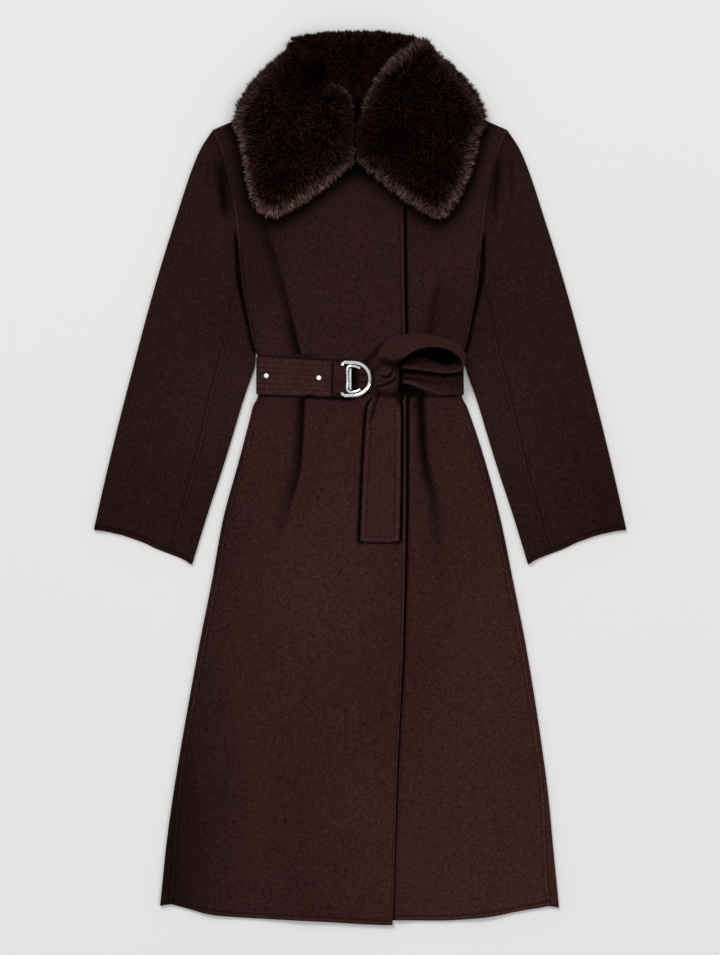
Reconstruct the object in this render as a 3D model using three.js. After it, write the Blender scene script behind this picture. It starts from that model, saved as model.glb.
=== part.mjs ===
// Long belted coat of double-face wool with a fur collar, laid flat with its front up.
// Millimetres. +X runs to the wearer's left, +Y to the collar, +Z up from the surface it lies on.
// The origin is on that surface, under the middle of the coat's outline.

import * as THREE from 'three';

// ---------------------------------------------------------------- driving sizes
const CLOTH = 2.2; // thickness of the wool
const GAP = 0.3; // between two pieces at a seam or where they touch
const LAYER = CLOTH + GAP; // step from one layer of cloth to the next
const FOLD_RADIUS = 3.35; // outside radius of the soft side folds
const FLAT_RADIUS = CLOTH + GAP / 2; // outside radius of a fold pressed flat
const FOLD_RELAX = 12; // distance over which the front sinks from a side fold
const ARC_STEPS = 3; // flats round half a turn of a fold
const FULL_TURN = 180; // degrees by which the back's edge is turned over at a side fold
const ARMHOLE_TURN = 9; // and by which it is turned up along the armhole
const OPEN_TURN = 30; // below this the front stops at the back's edge, with no lap on it
const ARMHOLE_FLAT = 1; // flat end of the back's edge where it isn't folded over

const TOP_Y = 504.5; // shoulder points
const HEM_Y = -616; // side seams at the hem
const HEM_FADE_Y = -330; // above this the rows run straight across
const RISE_Y = 300; // from here the rows bend to the shoulders and neck
const UNDER_EDGE_X = -62; // hidden free edge of the under front
const OVER_RISE = [-112, -80]; // where the over front climbs on the under front
const UNDER_SHOWS = 13; // the under front's folds come in over this width beside the free edge

const BELT_CLOTH = 3; // thickness of the belt
const BELT_LIFT = BELT_CLOTH + GAP; // how far the belt lifts the coat's back
const BELT_SPAN = [114, 180]; // the lift is full between these
const BELT_FADE = 31; // and gone this far beyond
const BELT_REST = 0.45; // air under the belt where it lies on the fronts
const BELT_TURN = 7.6; // outside radius of the belt's turn round a side
const RIB_HEIGHT = 0.8; // quilted ribs of the belt
const RIB_COUNT = 7;

const TUCK_LIFT = 5.6; // the body's sides lie on the sleeves by this much
const TUCK_START = [150, 186]; // height where that lift comes in
const TUCK_END = [300, 330]; // and where it goes out
const TUCK_FADE = 35; // width over which it goes out inwards
const TUCK_AIR = 16; // the fronts stay up over the back by this much more width

const COLLAR_BASE = 7.6; // underside of the fur leaves on the fronts
const COLLAR_RIM = 6; // thickness of the fur at its rim
const COLLAR_LOFT = 27; // height of the fur over its base
const COLLAR_BACK_LOFT = 28; // the same behind the neck
const COLLAR_BACK_ROLL = 8; // extra height of the back collar's upper edge
const COLLAR_ROLL = 15; // extra height of the roll beside the neck
const COLLAR_DROP = [12, 42]; // beyond the shoulder line the leaves come down over this
const SHOULDER_SLOPE = 0.44; // rise of the shoulder line to the neck
const NECK_X = 75; // neck points of the shoulder line
const NECK_Y = 565;

const HOOK = { x: -7, y: 475.5, z: 12.5, radius: 1.5, rod: 0.45 };

const RING_ROD = 5.2; // rod of the D-ring
const RING_Z = 15.8; // height of the D-ring's plane
const RING = { straight: -26.2, bow: 14.4, top: 167, bottom: 119.5, corner: 2.4 };
const BAR_ROD = 3.6; // rods of the double bar inside it
const BAR_X = -18.4; // outer rod of that bar
const BAR_ARM_END = 0; // X where its arms end
const RIVET_RADIUS = 3.6;
const RIVET_HEIGHT = 1.7;
const TAB_CLOTH = 2; // thickness of the tab that holds the D-ring
const KNOT = { x: 38, y: 142.5, halfX: 16.5, halfY: 25.5, base: 14.35, high: 16 };
const KNOT_GROOVE = { x: 24, y: 164.5, depth: 3.2, step: 18.2 };

// ---------------------------------------------------------------- tables
// Body edges by height: the lap is how far the back comes round on the front face, the
// turn is the angle by which the back's edge is turned up. Above 330 the edge is the armhole.
const SIDES = [
  { y: -616, left: -290, right: 288.4, lap: 11.5, turn: 180 },
  { y: -590, left: -287.3, right: 285.8, lap: 12.5, turn: 180 },
  { y: -529, left: -281, right: 279.7, lap: 10, turn: 180 },
  { y: -461, left: -271.5, right: 273.2, lap: 6.2, turn: 180 },
  { y: -391, left: -260, right: 263.8, lap: 4.6, turn: 180 },
  { y: -323, left: -248, right: 253.6, lap: 4.35, turn: 180 },
  { y: -236, left: -232, right: 239, lap: 4.35, turn: 180 },
  { y: -149, left: -214.7, right: 221.7, lap: 4.35, turn: 180 },
  { y: -62, left: -199, right: 204, lap: 4.35, turn: 180 },
  { y: 25, left: -175.6, right: 181, lap: 4.35, turn: 180 },
  { y: 83, left: -159.6, right: 162.3, lap: 4.35, turn: 180 },
  { y: 114, left: -149.6, right: 147.6, lap: 4.35, turn: 180 },
  { y: 148, left: -149.4, right: 147.4, lap: 4.35, turn: 180 },
  { y: 180, left: -149.6, right: 147.6, lap: 4.35, turn: 180 },
  { y: 192, left: -154.5, right: 154.5, lap: 4.35, turn: 180 },
  { y: 235, left: -163, right: 163, lap: 4.35, turn: 180 },
  { y: 279, left: -170.8, right: 170.8, lap: 4.35, turn: 180 },
  { y: 300, left: -172.9, right: 172.9, lap: 4.35, turn: 180 },
  { y: 310, left: -173.8, right: 173.8, lap: 4.35, turn: 120 },
  { y: 320, left: -174.7, right: 174.7, lap: 4.35, turn: 48 },
  { y: 330, left: -175.6, right: 175.6, lap: 4.35, turn: 9 },
  { y: 386, left: -181, right: 181, lap: 4.35, turn: 9 },
  { y: 446, left: -193, right: 193, lap: 4.35, turn: 9 },
  { y: 480, left: -202.5, right: 202.5, lap: 4.35, turn: 9 },
  { y: 504.5, left: -213, right: 213, lap: 4.35, turn: 9 },
];

// Inner end of the full lift over the sleeves.
const TUCK_INNER = [
  { y: 184, x: 144 },
  { y: 262, x: 115 },
];

// How far the hem hangs below the side seams, by share of the width from left to right.
const HEM = [
  { share: 0, over: -4.5, under: -4.5, back: -4.5 },
  { share: 0.021, over: -1.7, under: -1.7, back: -1.7 },
  { share: 0.059, over: -6.6, under: -6.6, back: -4 },
  { share: 0.088, over: -11.1, under: -11, back: -8.5 },
  { share: 0.116, over: -15.6, under: -15.5, back: -13 },
  { share: 0.155, over: -19, under: -18.5, back: -16 },
  { share: 0.225, over: -21.8, under: -21.5, back: -19 },
  { share: 0.4, over: -27, under: -25, back: -24 },
  { share: 0.585, over: -32, under: -25, back: -24 },
  { share: 0.7, over: -32, under: -25.5, back: -24 },
  { share: 0.802, over: -32, under: -21.9, back: -19.5 },
  { share: 0.84, over: -32, under: -19, back: -16.5 },
  { share: 0.878, over: -32, under: -14.5, back: -12 },
  { share: 0.909, over: -32, under: -11.1, back: -8.5 },
  { share: 0.952, over: -32, under: -7, back: -4.5 },
  { share: 0.98, over: -32, under: -4.5, back: -4.5 },
  { share: 1, over: -32, under: -7.2, back: -7.2 },
];

// How far shoulder line and neckline stand above the shoulder points, by share of the width.
const NECK = [
  { share: 0, over: 0, under: -44.5, back: 0 },
  { share: 0.324, over: 60.5, under: -44.5, back: 60.5 },
  { share: 0.355, over: 25.5, under: -44.5, back: 58 },
  { share: 0.406, over: -9.5, under: -42, back: 52 },
  { share: 0.5, over: -34.5, under: -34.5, back: 47.5 },
  { share: 0.594, over: -42, under: -9.5, back: 52 },
  { share: 0.645, over: -44.5, under: 25.5, back: 58 },
  { share: 0.676, over: -44.5, under: 60.5, back: 60.5 },
  { share: 1, over: -44.5, under: 0, back: 0 },
];

// Free edge of the over front.
const FREE_EDGE = [
  { y: -616, x: 47 },
  { y: -439, x: 53 },
  { y: -235, x: 62.5 },
  { y: 0, x: 66.6 },
  { y: 120, x: 66.6 },
  { y: 300, x: 64 },
  { y: 504.5, x: 62 },
];

// Largest folds of the fronts: a ridge from the upper to the lower point, with its height
// and the widths of its slopes to the left and to the right.
const FOLDS = [
  { x1: -135, y1: 346, x2: -79, y2: 184, high: 7, left: 8, right: 20 },
  { x1: -73, y1: 112, x2: -103, y2: -110, high: 7.5, left: 8, right: 21 },
  { x1: 79, y1: 112, x2: 83, y2: -10, high: 5, left: 7, right: 8 },
  { x1: 104, y1: 112, x2: 112, y2: -90, high: 3, left: 10, right: 16 },
  { x1: 138, y1: 318, x2: 107, y2: 200, high: 3, left: 9, right: 14 },
  { x1: -20, y1: 340, x2: -12, y2: 195, high: 2, left: 16, right: 18 },
  { x1: -178, y1: -60, x2: -216, y2: -575, high: 3, left: 24, right: 30 },
  { x1: -66, y1: -160, x2: -84, y2: -600, high: 2.5, left: 34, right: 30 },
  { x1: 146, y1: -40, x2: 186, y2: -570, high: 3, left: 30, right: 26 },
];
const FOLD_FADE = 0.16; // share of a ridge's length over which each end dies out

// The sleeve on the left, flat, row by row from the cuff to the armhole: outer fold a, inner
// fold b, share of the width where the front seam runs, share of the cuff's dip, share of
// the armhole's bulge, radius of the inner fold and height of the soft crown.
const SLEEVE = [
  { ax: -386, ay: -75.5, bx: -243.5, by: -126, seam: 0.8, cuff: 1, cap: 0, fold: 3.35, crown: 2.4 },
  { ax: -370.5, ay: -6, bx: -222.5, by: -57, seam: 0.79, cuff: 0.25, cap: 0, fold: 3.35, crown: 3.2 },
  { ax: -349, ay: 83, bx: -196, by: 24, seam: 0.765, cuff: 0, cap: 0, fold: 3.35, crown: 2.6 },
  { ax: -327, ay: 168, bx: -170, by: 110, seam: 0.735, cuff: 0, cap: 0, fold: 3.35, crown: 3.2 },
  { ax: -306, ay: 247, bx: -155.4, by: 160, seam: 0.72, cuff: 0, cap: 0, fold: 2.6, crown: 3 },
  { ax: -289, ay: 306, bx: -155.4, by: 183, seam: 0.725, cuff: 0, cap: 0.06, fold: 2.35, crown: 2.6 },
  { ax: -267, ay: 376, bx: -143, by: 216, seam: 0.745, cuff: 0, cap: 0.28, fold: 2.35, crown: 3.4 },
  { ax: -243.5, ay: 447, bx: -133, by: 244, seam: 0.765, cuff: 0, cap: 0.62, fold: 2.35, crown: 2 },
  { ax: -230.8, ay: 477, bx: -129.5, by: 253, seam: 0.7725, cuff: 0, cap: 0.81, fold: 2.35, crown: 1 },
  { ax: -213, ay: 504.5, bx: -126, by: 262, seam: 0.78, cuff: 0, cap: 1, fold: 2.35, crown: 0 },
].map((row, at) => ({ at, ...row }));
const SLEEVE_STEPS = 2; // rows of points for each row of the table
const ARMHOLE_END = { share: 0.8, y: 300 }; // below this the armhole is hidden
const ARMHOLE_TUCK = { share: 0.86, x: -165, y: 285 };
const CROWN_END = 0.76; // share of the width where the soft crown ends
const SEAM_MARGIN = 0.04; // least share between the front seam and the next column
const REAR_SEAM = 0.25; // share of the width, on the underside
const CUFF_PEEK = 2.5; // the under layer of the cuff reaches further

// How far the cuff's edge bends in, by share of the width.
const CUFF_DIP = [
  { share: 0, dip: 0 },
  { share: 0.09, dip: 3.2 },
  { share: 0.22, dip: 5.9 },
  { share: 0.33, dip: 7.4 },
  { share: 0.5, dip: 7.3 },
  { share: 0.64, dip: 4.8 },
  { share: 0.81, dip: 4.2 },
  { share: 0.9, dip: 3.6 },
  { share: 1, dip: 0 },
];

// Outlines of the fur, each round its own middle.
const RIGHT_LEAF = [
  { x: -125, y: 377 }, { x: -94, y: 391 }, { x: -58, y: 415 }, { x: -24, y: 442 },
  { x: -10, y: 459 }, { x: -9, y: 490 }, { x: -9, y: 528 }, { x: -14, y: 553 },
  { x: -24, y: 566 }, { x: -37, y: 569 }, { x: -48, y: 580 }, { x: -51, y: 601 },
  { x: -64, y: 615 }, { x: -82, y: 629 }, { x: -100, y: 634 }, { x: -113, y: 617 },
  { x: -146, y: 588 }, { x: -172, y: 553 }, { x: -184, y: 518 }, { x: -177, y: 495 },
  { x: -169, y: 458 }, { x: -159, y: 407 }, { x: -146, y: 386 },
];
const LEFT_LEAF = [
  { x: 113, y: 377 }, { x: 95, y: 383 }, { x: 56, y: 409 }, { x: 18, y: 439 },
  { x: 1, y: 453 }, { x: -5, y: 470 }, { x: -5, y: 508 }, { x: 2, y: 526 },
  { x: 5, y: 544 }, { x: 20, y: 578 }, { x: 45, y: 611 }, { x: 60, y: 624 },
  { x: 80, y: 636 }, { x: 102, y: 633 }, { x: 113, y: 617 }, { x: 146, y: 588 },
  { x: 172, y: 553 }, { x: 183, y: 520 }, { x: 172, y: 490 }, { x: 165, y: 458 },
  { x: 155, y: 430 }, { x: 144, y: 407 }, { x: 131, y: 387 },
];
const COLLAR_BACK = [
  { x: -3, y: 553.2 }, { x: 9, y: 556.5 }, { x: 19, y: 578.6 }, { x: 44, y: 611.8 },
  { x: 59, y: 624.8 }, { x: 78.5, y: 637 }, { x: 76, y: 641 }, { x: 50, y: 645 },
  { x: 16, y: 648 }, { x: -45, y: 646.5 }, { x: -80, y: 641 }, { x: -97, y: 636 },
  { x: -81, y: 630.2 }, { x: -63, y: 616 }, { x: -50, y: 601.6 }, { x: -47, y: 580.6 },
  { x: -36.5, y: 570 }, { x: -23, y: 567 }, { x: -13, y: 556.5 },
];
const LEAF_RINGS = [0.34, 0.6, 0.78, 0.9, 0.97];

// The belt's edges from the coat's right side to its left.
const BELT_EDGES = [
  { x: -154, low: 121.5, high: 176 },
  { x: -39, low: 118, high: 169.5 },
  { x: 60, low: 119, high: 171 },
  { x: 152, low: 120, high: 172 },
];

// Standing ear of the half bow: the edge that lies on the coat and the one that stands up.
const EAR = [
  { x1: 26.5, y1: 171.4, z1: 15.5, x2: 40, y2: 167.4, z2: 34 },
  { x1: 33, y1: 187, z1: 13.2, x2: 50.6, y2: 170, z2: 41 },
  { x1: 45, y1: 201.5, z1: 12.2, x2: 62, y2: 172.5, z2: 50 },
  { x1: 70, y1: 207.3, z1: 12, x2: 78, y2: 182.6, z2: 57 },
  { x1: 103, y1: 204.4, z1: 12, x2: 98.5, y2: 189, z2: 60 },
  { x1: 132, y1: 195.7, z1: 12, x2: 123, y2: 186, z2: 60 },
  { x1: 146, y1: 185.6, z1: 12.6, x2: 143, y2: 178, z2: 60 },
  { x1: 148.6, y1: 175.4, z1: 16.5, x2: 153.6, y2: 168, z2: 58 },
  { x1: 139, y1: 167, z1: 18, x2: 146.5, y2: 156, z2: 56 },
  { x1: 121.6, y1: 164, z1: 17, x2: 130.5, y2: 151, z2: 54 },
  { x1: 94, y1: 174.8, z1: 15.2, x2: 103, y2: 153.8, z2: 50 },
  { x1: 66, y1: 171, z1: 16.5, x2: 61, y2: 160.5, z2: 35 },
];

// Tail of the belt below the knot.
const TAIL = [
  { y: -93, left: 0.2, right: 56.7 },
  { y: -14.5, left: 3.5, right: 58.5 },
  { y: 70, left: 8, right: 59 },
  { y: 104, left: 11.5, right: 58.6 },
  { y: 119, left: 20.5, right: 53 },
  { y: 142, left: 25, right: 48 },
];

// ---------------------------------------------------------------- numbers
const lerp = (a, b, t) => a + (b - a) * t;
const clamp = (v, low, high) => Math.min(high, Math.max(low, v));

function smooth(start, end, value) {
  const t = clamp((value - start) / (end - start), 0, 1);
  return t * t * (3 - 2 * t);
}

// Value of a column where the key column has a given value, straight between the rows.
function read(table, key, value, column) {
  const last = table.length - 2;
  let i = 0;
  while (i < last && value > table[i + 1][key]) i += 1;
  const t = clamp((value - table[i][key]) / (table[i + 1][key] - table[i][key]), 0, 1);
  return lerp(table[i][column], table[i + 1][column], t);
}

// Key values of a table's rows, with more between them so that no step is over the given one.
function stations(table, key, step) {
  const values = [table[0][key]];
  for (let i = 1; i < table.length; i += 1) {
    const start = table[i - 1][key];
    const parts = Math.max(1, Math.round((table[i][key] - start) / step));
    for (let k = 1; k <= parts; k += 1) values.push(lerp(start, table[i][key], k / parts));
  }
  return values;
}

// Evenly spaced values from start to end, with a given number of steps.
const range = (start, end, steps) => (
  Array.from({ length: steps + 1 }, (_, i) => lerp(start, end, i / steps))
);

// ---------------------------------------------------------------- closed bodies
// Geometry from points and triangles, with its faces turned outwards.
function solid(points, triangles) {
  let volume = 0;
  for (const [a, b, c] of triangles) {
    volume += points[a].dot(new THREE.Vector3().crossVectors(points[b], points[c]));
  }
  const turned = volume > 0 ? triangles : triangles.map(([a, b, c]) => [a, c, b]);
  const geometry = new THREE.BufferGeometry();
  const numbers = points.flatMap((p) => [p.x, p.y, p.z]);
  geometry.setAttribute('position', new THREE.Float32BufferAttribute(numbers, 3));
  geometry.setIndex(turned.flat());
  geometry.computeVertexNormals();
  return geometry;
}

// Wall between two grids of points of the same size, its outer and its inner face.
function wall(outer, inner) {
  const rows = outer.length;
  const columns = outer[0].length;
  const triangles = [];
  const at = (face, row, column) => (face * rows + row) * columns + column;
  const quad = (a, b, c, d) => triangles.push([a, b, c], [a, c, d]);
  for (let r = 0; r < rows - 1; r += 1) {
    for (let c = 0; c < columns - 1; c += 1) {
      quad(at(0, r, c), at(0, r, c + 1), at(0, r + 1, c + 1), at(0, r + 1, c));
      quad(at(1, r, c), at(1, r + 1, c), at(1, r + 1, c + 1), at(1, r, c + 1));
    }
  }
  for (let c = 0; c < columns - 1; c += 1) {
    const end = rows - 1;
    quad(at(0, 0, c + 1), at(0, 0, c), at(1, 0, c), at(1, 0, c + 1));
    quad(at(0, end, c), at(0, end, c + 1), at(1, end, c + 1), at(1, end, c));
  }
  for (let r = 0; r < rows - 1; r += 1) {
    const end = columns - 1;
    quad(at(0, r, 0), at(0, r + 1, 0), at(1, r + 1, 0), at(1, r, 0));
    quad(at(0, r + 1, end), at(0, r, end), at(1, r, end), at(1, r + 1, end));
  }
  return solid([...outer.flat(), ...inner.flat()], triangles);
}

// Wall from rows of point pairs, each pair an outer and an inner point.
function wallFromPairs(pairs) {
  const face = (side) => pairs.map((row) => row.map((pair) => pair[side]));
  return wall(face(0), face(1));
}

// Mirror of a body on the plane X = 0.
function mirrored(geometry) {
  const copy = geometry.clone();
  copy.scale(-1, 1, 1);
  const index = copy.getIndex();
  for (let i = 0; i < index.count; i += 3) {
    const second = index.getX(i + 1);
    index.setX(i + 1, index.getX(i + 2));
    index.setX(i + 2, second);
  }
  copy.computeVertexNormals();
  return copy;
}

const UNDERSIDE_RINGS = [0.97, 0.86, 0.72, 0.5];

// Cushion over a star-shaped outline, with a top and an underside given as heights.
function cushion(outline, middle, rings, top, underside) {
  const points = [];
  const triangles = [];
  const count = outline.length;
  const place = (ring, p) => [lerp(middle.x, p.x, ring), lerp(middle.y, p.y, ring)];
  const addRing = (ring, height) => {
    const start = points.length;
    for (const p of outline) {
      const [x, y] = place(ring, p);
      points.push(new THREE.Vector3(x, y, height(x, y, ring)));
    }
    return start;
  };
  const join = (a, b) => {
    for (let i = 0; i < count; i += 1) {
      const j = (i + 1) % count;
      triangles.push([a + i, a + j, b + j], [a + i, b + j, b + i]);
    }
  };
  const cap = (start, height, flip) => {
    const centre = points.length;
    points.push(new THREE.Vector3(middle.x, middle.y, height(middle.x, middle.y, 0)));
    for (let i = 0; i < count; i += 1) {
      const j = (i + 1) % count;
      triangles.push(flip ? [centre, start + j, start + i] : [centre, start + i, start + j]);
    }
  };
  const first = addRing(rings[0], top);
  cap(first, top, false);
  let previous = first;
  for (const ring of [...rings.slice(1), 1]) {
    const next = addRing(ring, top);
    join(next, previous);
    previous = next;
  }
  let below = addRing(1, underside);
  join(below, previous);
  for (const ring of UNDERSIDE_RINGS) {
    const next = addRing(ring, underside);
    join(next, below);
    below = next;
  }
  cap(below, underside, true);
  return solid(points, triangles);
}

// Height of the upper face of a panel at a place, or nothing where the panel isn't.
function heightOf(grid, x, y) {
  let found = -Infinity;
  const test = (a, b, c) => {
    const area = (b.x - a.x) * (c.y - a.y) - (c.x - a.x) * (b.y - a.y);
    if (Math.abs(area) < 1e-9) return;
    const u = ((b.x - x) * (c.y - y) - (c.x - x) * (b.y - y)) / area;
    const v = ((c.x - x) * (a.y - y) - (a.x - x) * (c.y - y)) / area;
    const w = 1 - u - v;
    if (Math.min(u, v, w) > -1e-9) found = Math.max(found, u * a.z + v * b.z + w * c.z);
  };
  for (let r = 0; r < grid.length - 1; r += 1) {
    for (let c = 0; c < grid[r].length - 1; c += 1) {
      test(grid[r][c], grid[r][c + 1], grid[r + 1][c + 1]);
      test(grid[r][c], grid[r + 1][c + 1], grid[r + 1][c]);
    }
  }
  return found;
}

// ---------------------------------------------------------------- lie of the body
const side = (y, column) => read(SIDES, 'y', y, column);
const beltEdge = (x, column) => read(BELT_EDGES, 'x', x, column);

// Height of the back's underside: up over the belt that passes below it, and up over the
// inner edges of the sleeves at the underarms.
function lift(x, y, more = 0) {
  const [beltStart, beltEnd] = BELT_SPAN;
  const belowBelt = 1 - smooth(beltStart - BELT_FADE, beltStart, y);
  const aboveBelt = smooth(beltEnd, beltEnd + BELT_FADE, y);
  const overBelt = (1 - belowBelt) * (1 - aboveBelt);
  const inner = read(TUCK_INNER, 'y', y, 'x') - more;
  const inTuck = smooth(...TUCK_START, y) * (1 - smooth(...TUCK_END, y));
  const tuck = inTuck * smooth(inner - TUCK_FADE, inner, Math.abs(x));
  return lerp(BELT_LIFT * overBelt, TUCK_LIFT, tuck);
}

// Height of one ridge of the fronts at a place.
function ridge(fold, x, y) {
  const t = (fold.y1 - y) / (fold.y1 - fold.y2);
  if (t <= 0 || t >= 1) return 0;
  const ends = smooth(0, FOLD_FADE, t) * (1 - smooth(1 - FOLD_FADE, 1, t));
  const across = x - lerp(fold.x1, fold.x2, t);
  const width = across < 0 ? fold.left : fold.right;
  return fold.high * ends * Math.exp(-((across / width) ** 2));
}

// Where the part of the under front that the over front covers ends.
const coverX = (y) => read(FREE_EDGE, 'y', y, 'x') + 1;

// How far a layer stands up beside a soft fold, by its distance from the end of the fold.
const foldRise = (distance, radius) => (
  2 * (radius - FLAT_RADIUS) * Math.exp(-Math.max(distance, 0) / FOLD_RELAX)
);

// How far the front stands off the back: high at the side folds, with the large folds.
// The part of the under front that the over front covers has no folds.
function fullness(x, y, isOver) {
  const fromSide = Math.min(x - side(y, 'left'), side(y, 'right') - x) - FOLD_RADIUS;
  const folded = smooth(ARMHOLE_TURN, FULL_TURN, side(y, 'turn'));
  const shown = isOver ? 1 : smooth(coverX(y), coverX(y) + UNDER_SHOWS, x);
  const ridges = FOLDS.reduce((sum, fold) => sum + ridge(fold, x, y), 0);
  return foldRise(fromSide, FOLD_RADIUS) * folded + shown * ridges;
}

// Height of a front's underside.
function frontZ(x, y, isOver) {
  const climb = isOver ? LAYER * smooth(...OVER_RISE, x) : 0;
  return lift(x, y, TUCK_AIR) + LAYER + fullness(x, y, isOver) + climb;
}

// Place of a point of the body by height of its row and distance from the left edge.
function bodyPlace(y, x, column) {
  const share = (x - side(y, 'left')) / (side(y, 'right') - side(y, 'left'));
  const hang = read(HEM, 'share', share, column) * (1 - smooth(HEM_Y, HEM_FADE_Y, y));
  const rise = read(NECK, 'share', share, column) * smooth(RISE_Y, TOP_Y, y);
  return y + hang + rise;
}

const BODY_ROWS = stations(SIDES, 'y', 42);

// Distance of a front's seam from the body's edge.
const seamInset = (y) => (side(y, 'turn') > OPEN_TURN ? side(y, 'lap') + GAP : GAP / 2);

// ---------------------------------------------------------------- fronts
// Columns of the panels by share of the width: close where the folds are.
const OVER_SHARES = [
  0, 0.04, 0.09, 0.14, 0.19, 0.235, 0.28, 0.325,
  0.37, 0.42, 0.47, 0.53, 0.6, 0.7, 0.85, 1,
];
const HIDDEN_SHARES = [0, 0.33, 0.67, 1];
const SHOWN_SHARES = [0.08, 0.16, 0.24, 0.32, 0.41, 0.52, 0.66, 0.8, 0.92, 1];

// X of the columns of each front in a row.
function overColumns(rowY) {
  const start = side(rowY, 'left') + seamInset(rowY);
  const end = read(FREE_EDGE, 'y', rowY, 'x');
  return OVER_SHARES.map((share) => lerp(start, end, share));
}

function underColumns(rowY) {
  const end = side(rowY, 'right') - seamInset(rowY);
  const hidden = HIDDEN_SHARES.map((share) => lerp(UNDER_EDGE_X, coverX(rowY), share));
  const shown = SHOWN_SHARES.map((share) => lerp(coverX(rowY), end, share));
  return [...hidden, ...shown];
}

function frontPairs(columns, isOver) {
  const column = isOver ? 'over' : 'under';
  return BODY_ROWS.map((rowY) => {
    return columns(rowY).map((x) => {
      const y = bodyPlace(rowY, x, column);
      const z = frontZ(x, y, isOver);
      return [new THREE.Vector3(x, y, z + CLOTH), new THREE.Vector3(x, y, z)];
    });
  });
}

const overFront = frontPairs(overColumns, true);
const underFront = frontPairs(underColumns, false);
const upperFace = (pairs) => pairs.map((row) => row.map((pair) => pair[0]));
const overTop = upperFace(overFront);
const underTop = upperFace(underFront);
const frontTop = (x, y) => Math.max(heightOf(overTop, x, y), heightOf(underTop, x, y));

// ---------------------------------------------------------------- back
const BACK_SHARES = [0.05, 0.1, 0.15, 0.2, 0.25, 0.35, 0.5, 0.65, 0.75, 0.8, 0.85, 0.9, 0.95];

// Points of the back's edge from the flat round the fold to the end of the lap, each as
// distance from the body's edge and height, on a face a given depth inside the outer one.
function backEdge(rowY, depth) {
  const turn = THREE.MathUtils.degToRad(side(rowY, 'turn'));
  const lap = side(rowY, 'lap');
  const start = turn >= Math.PI / 2
    ? FOLD_RADIUS
    : GAP / 2 + FOLD_RADIUS * Math.sin(turn) + ARMHOLE_FLAT * Math.cos(turn);
  const points = [];
  for (let k = 0; k <= ARC_STEPS; k += 1) {
    const angle = (turn * k) / ARC_STEPS;
    const radius = FOLD_RADIUS - depth;
    points.push([start - radius * Math.sin(angle), FOLD_RADIUS - radius * Math.cos(angle)]);
  }
  const [endX, endZ] = points[ARC_STEPS];
  if (side(rowY, 'turn') === FULL_TURN) {
    const sink = foldRise(0, FOLD_RADIUS) - foldRise(lap - FOLD_RADIUS, FOLD_RADIUS);
    points.push([lap, endZ - sink]);
  } else {
    points.push([endX - ARMHOLE_FLAT * Math.cos(turn), endZ + ARMHOLE_FLAT * Math.sin(turn)]);
  }
  return points;
}

function backPairs() {
  return BODY_ROWS.map((rowY) => {
    const left = side(rowY, 'left');
    const right = side(rowY, 'right');
    const base = [lift(left + FOLD_RADIUS, rowY), lift(right - FOLD_RADIUS, rowY)];
    const face = (depth) => {
      const edge = backEdge(rowY, depth);
      const leftEdge = edge.map(([a, z]) => [left + a, base[0] + z]).reverse();
      const rightEdge = edge.map(([a, z]) => [right - a, base[1] + z]);
      const middle = BACK_SHARES.map((share) => {
        const x = lerp(left, right, share);
        return [x, lift(x, bodyPlace(rowY, x, 'back')) + depth];
      });
      return [...leftEdge, ...middle, ...rightEdge].map(
        ([x, z]) => new THREE.Vector3(x, bodyPlace(rowY, x, 'back'), z),
      );
    };
    const outer = face(0);
    const inner = face(CLOTH);
    return outer.map((point, i) => [point, inner[i]]);
  });
}

// ---------------------------------------------------------------- sleeve, on the left
const SLEEVE_ROWS = stations(SLEEVE, 'at', 1 / SLEEVE_STEPS);
const armholeShare = (y) => (ARMHOLE_END.share * (TOP_Y - y)) / (TOP_Y - ARMHOLE_END.y);
const UPPER_COLUMNS = [480, 446, 416, 386, 358, 330].map(armholeShare);
const UNDER_COLUMNS = [0.8, 0.6, 0.42];

// A point of the armhole by share from the shoulder point to the underarm.
function armhole(share) {
  const end = SLEEVE[SLEEVE.length - 1];
  if (share <= ARMHOLE_END.share) {
    const y = lerp(TOP_Y, ARMHOLE_END.y, share / ARMHOLE_END.share);
    return [side(y, 'left') - GAP / 2, y];
  }
  const start = [side(ARMHOLE_END.y, 'left') - GAP / 2, ARMHOLE_END.y];
  const tuck = [ARMHOLE_TUCK.x, ARMHOLE_TUCK.y];
  if (share <= ARMHOLE_TUCK.share) {
    const t = (share - ARMHOLE_END.share) / (ARMHOLE_TUCK.share - ARMHOLE_END.share);
    return start.map((value, i) => lerp(value, tuck[i], t));
  }
  const t = (share - ARMHOLE_TUCK.share) / (1 - ARMHOLE_TUCK.share);
  return tuck.map((value, i) => lerp(value, [end.bx, end.by][i], t));
}

// A point of the flat sleeve in plan, by row and share from the outer to the inner fold.
function sleevePlace(at, share, isUnderside) {
  const row = (column) => read(SLEEVE, 'at', at, column);
  const end = SLEEVE[SLEEVE.length - 1];
  const [capX, capY] = armhole(clamp(share, 0, 1));
  const bulgeX = capX - lerp(end.ax, end.bx, share);
  const bulgeY = capY - lerp(end.ay, end.by, share);
  const peek = isUnderside ? 0 : CUFF_PEEK * Math.sin(Math.PI * clamp(share, 0, 1));
  const dip = row('cuff') * (read(CUFF_DIP, 'share', share, 'dip') + peek);
  return [
    lerp(row('ax'), row('bx'), share) + row('cap') * bulgeX,
    lerp(row('ay'), row('by'), share) + row('cap') * bulgeY + dip,
  ];
}

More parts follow.
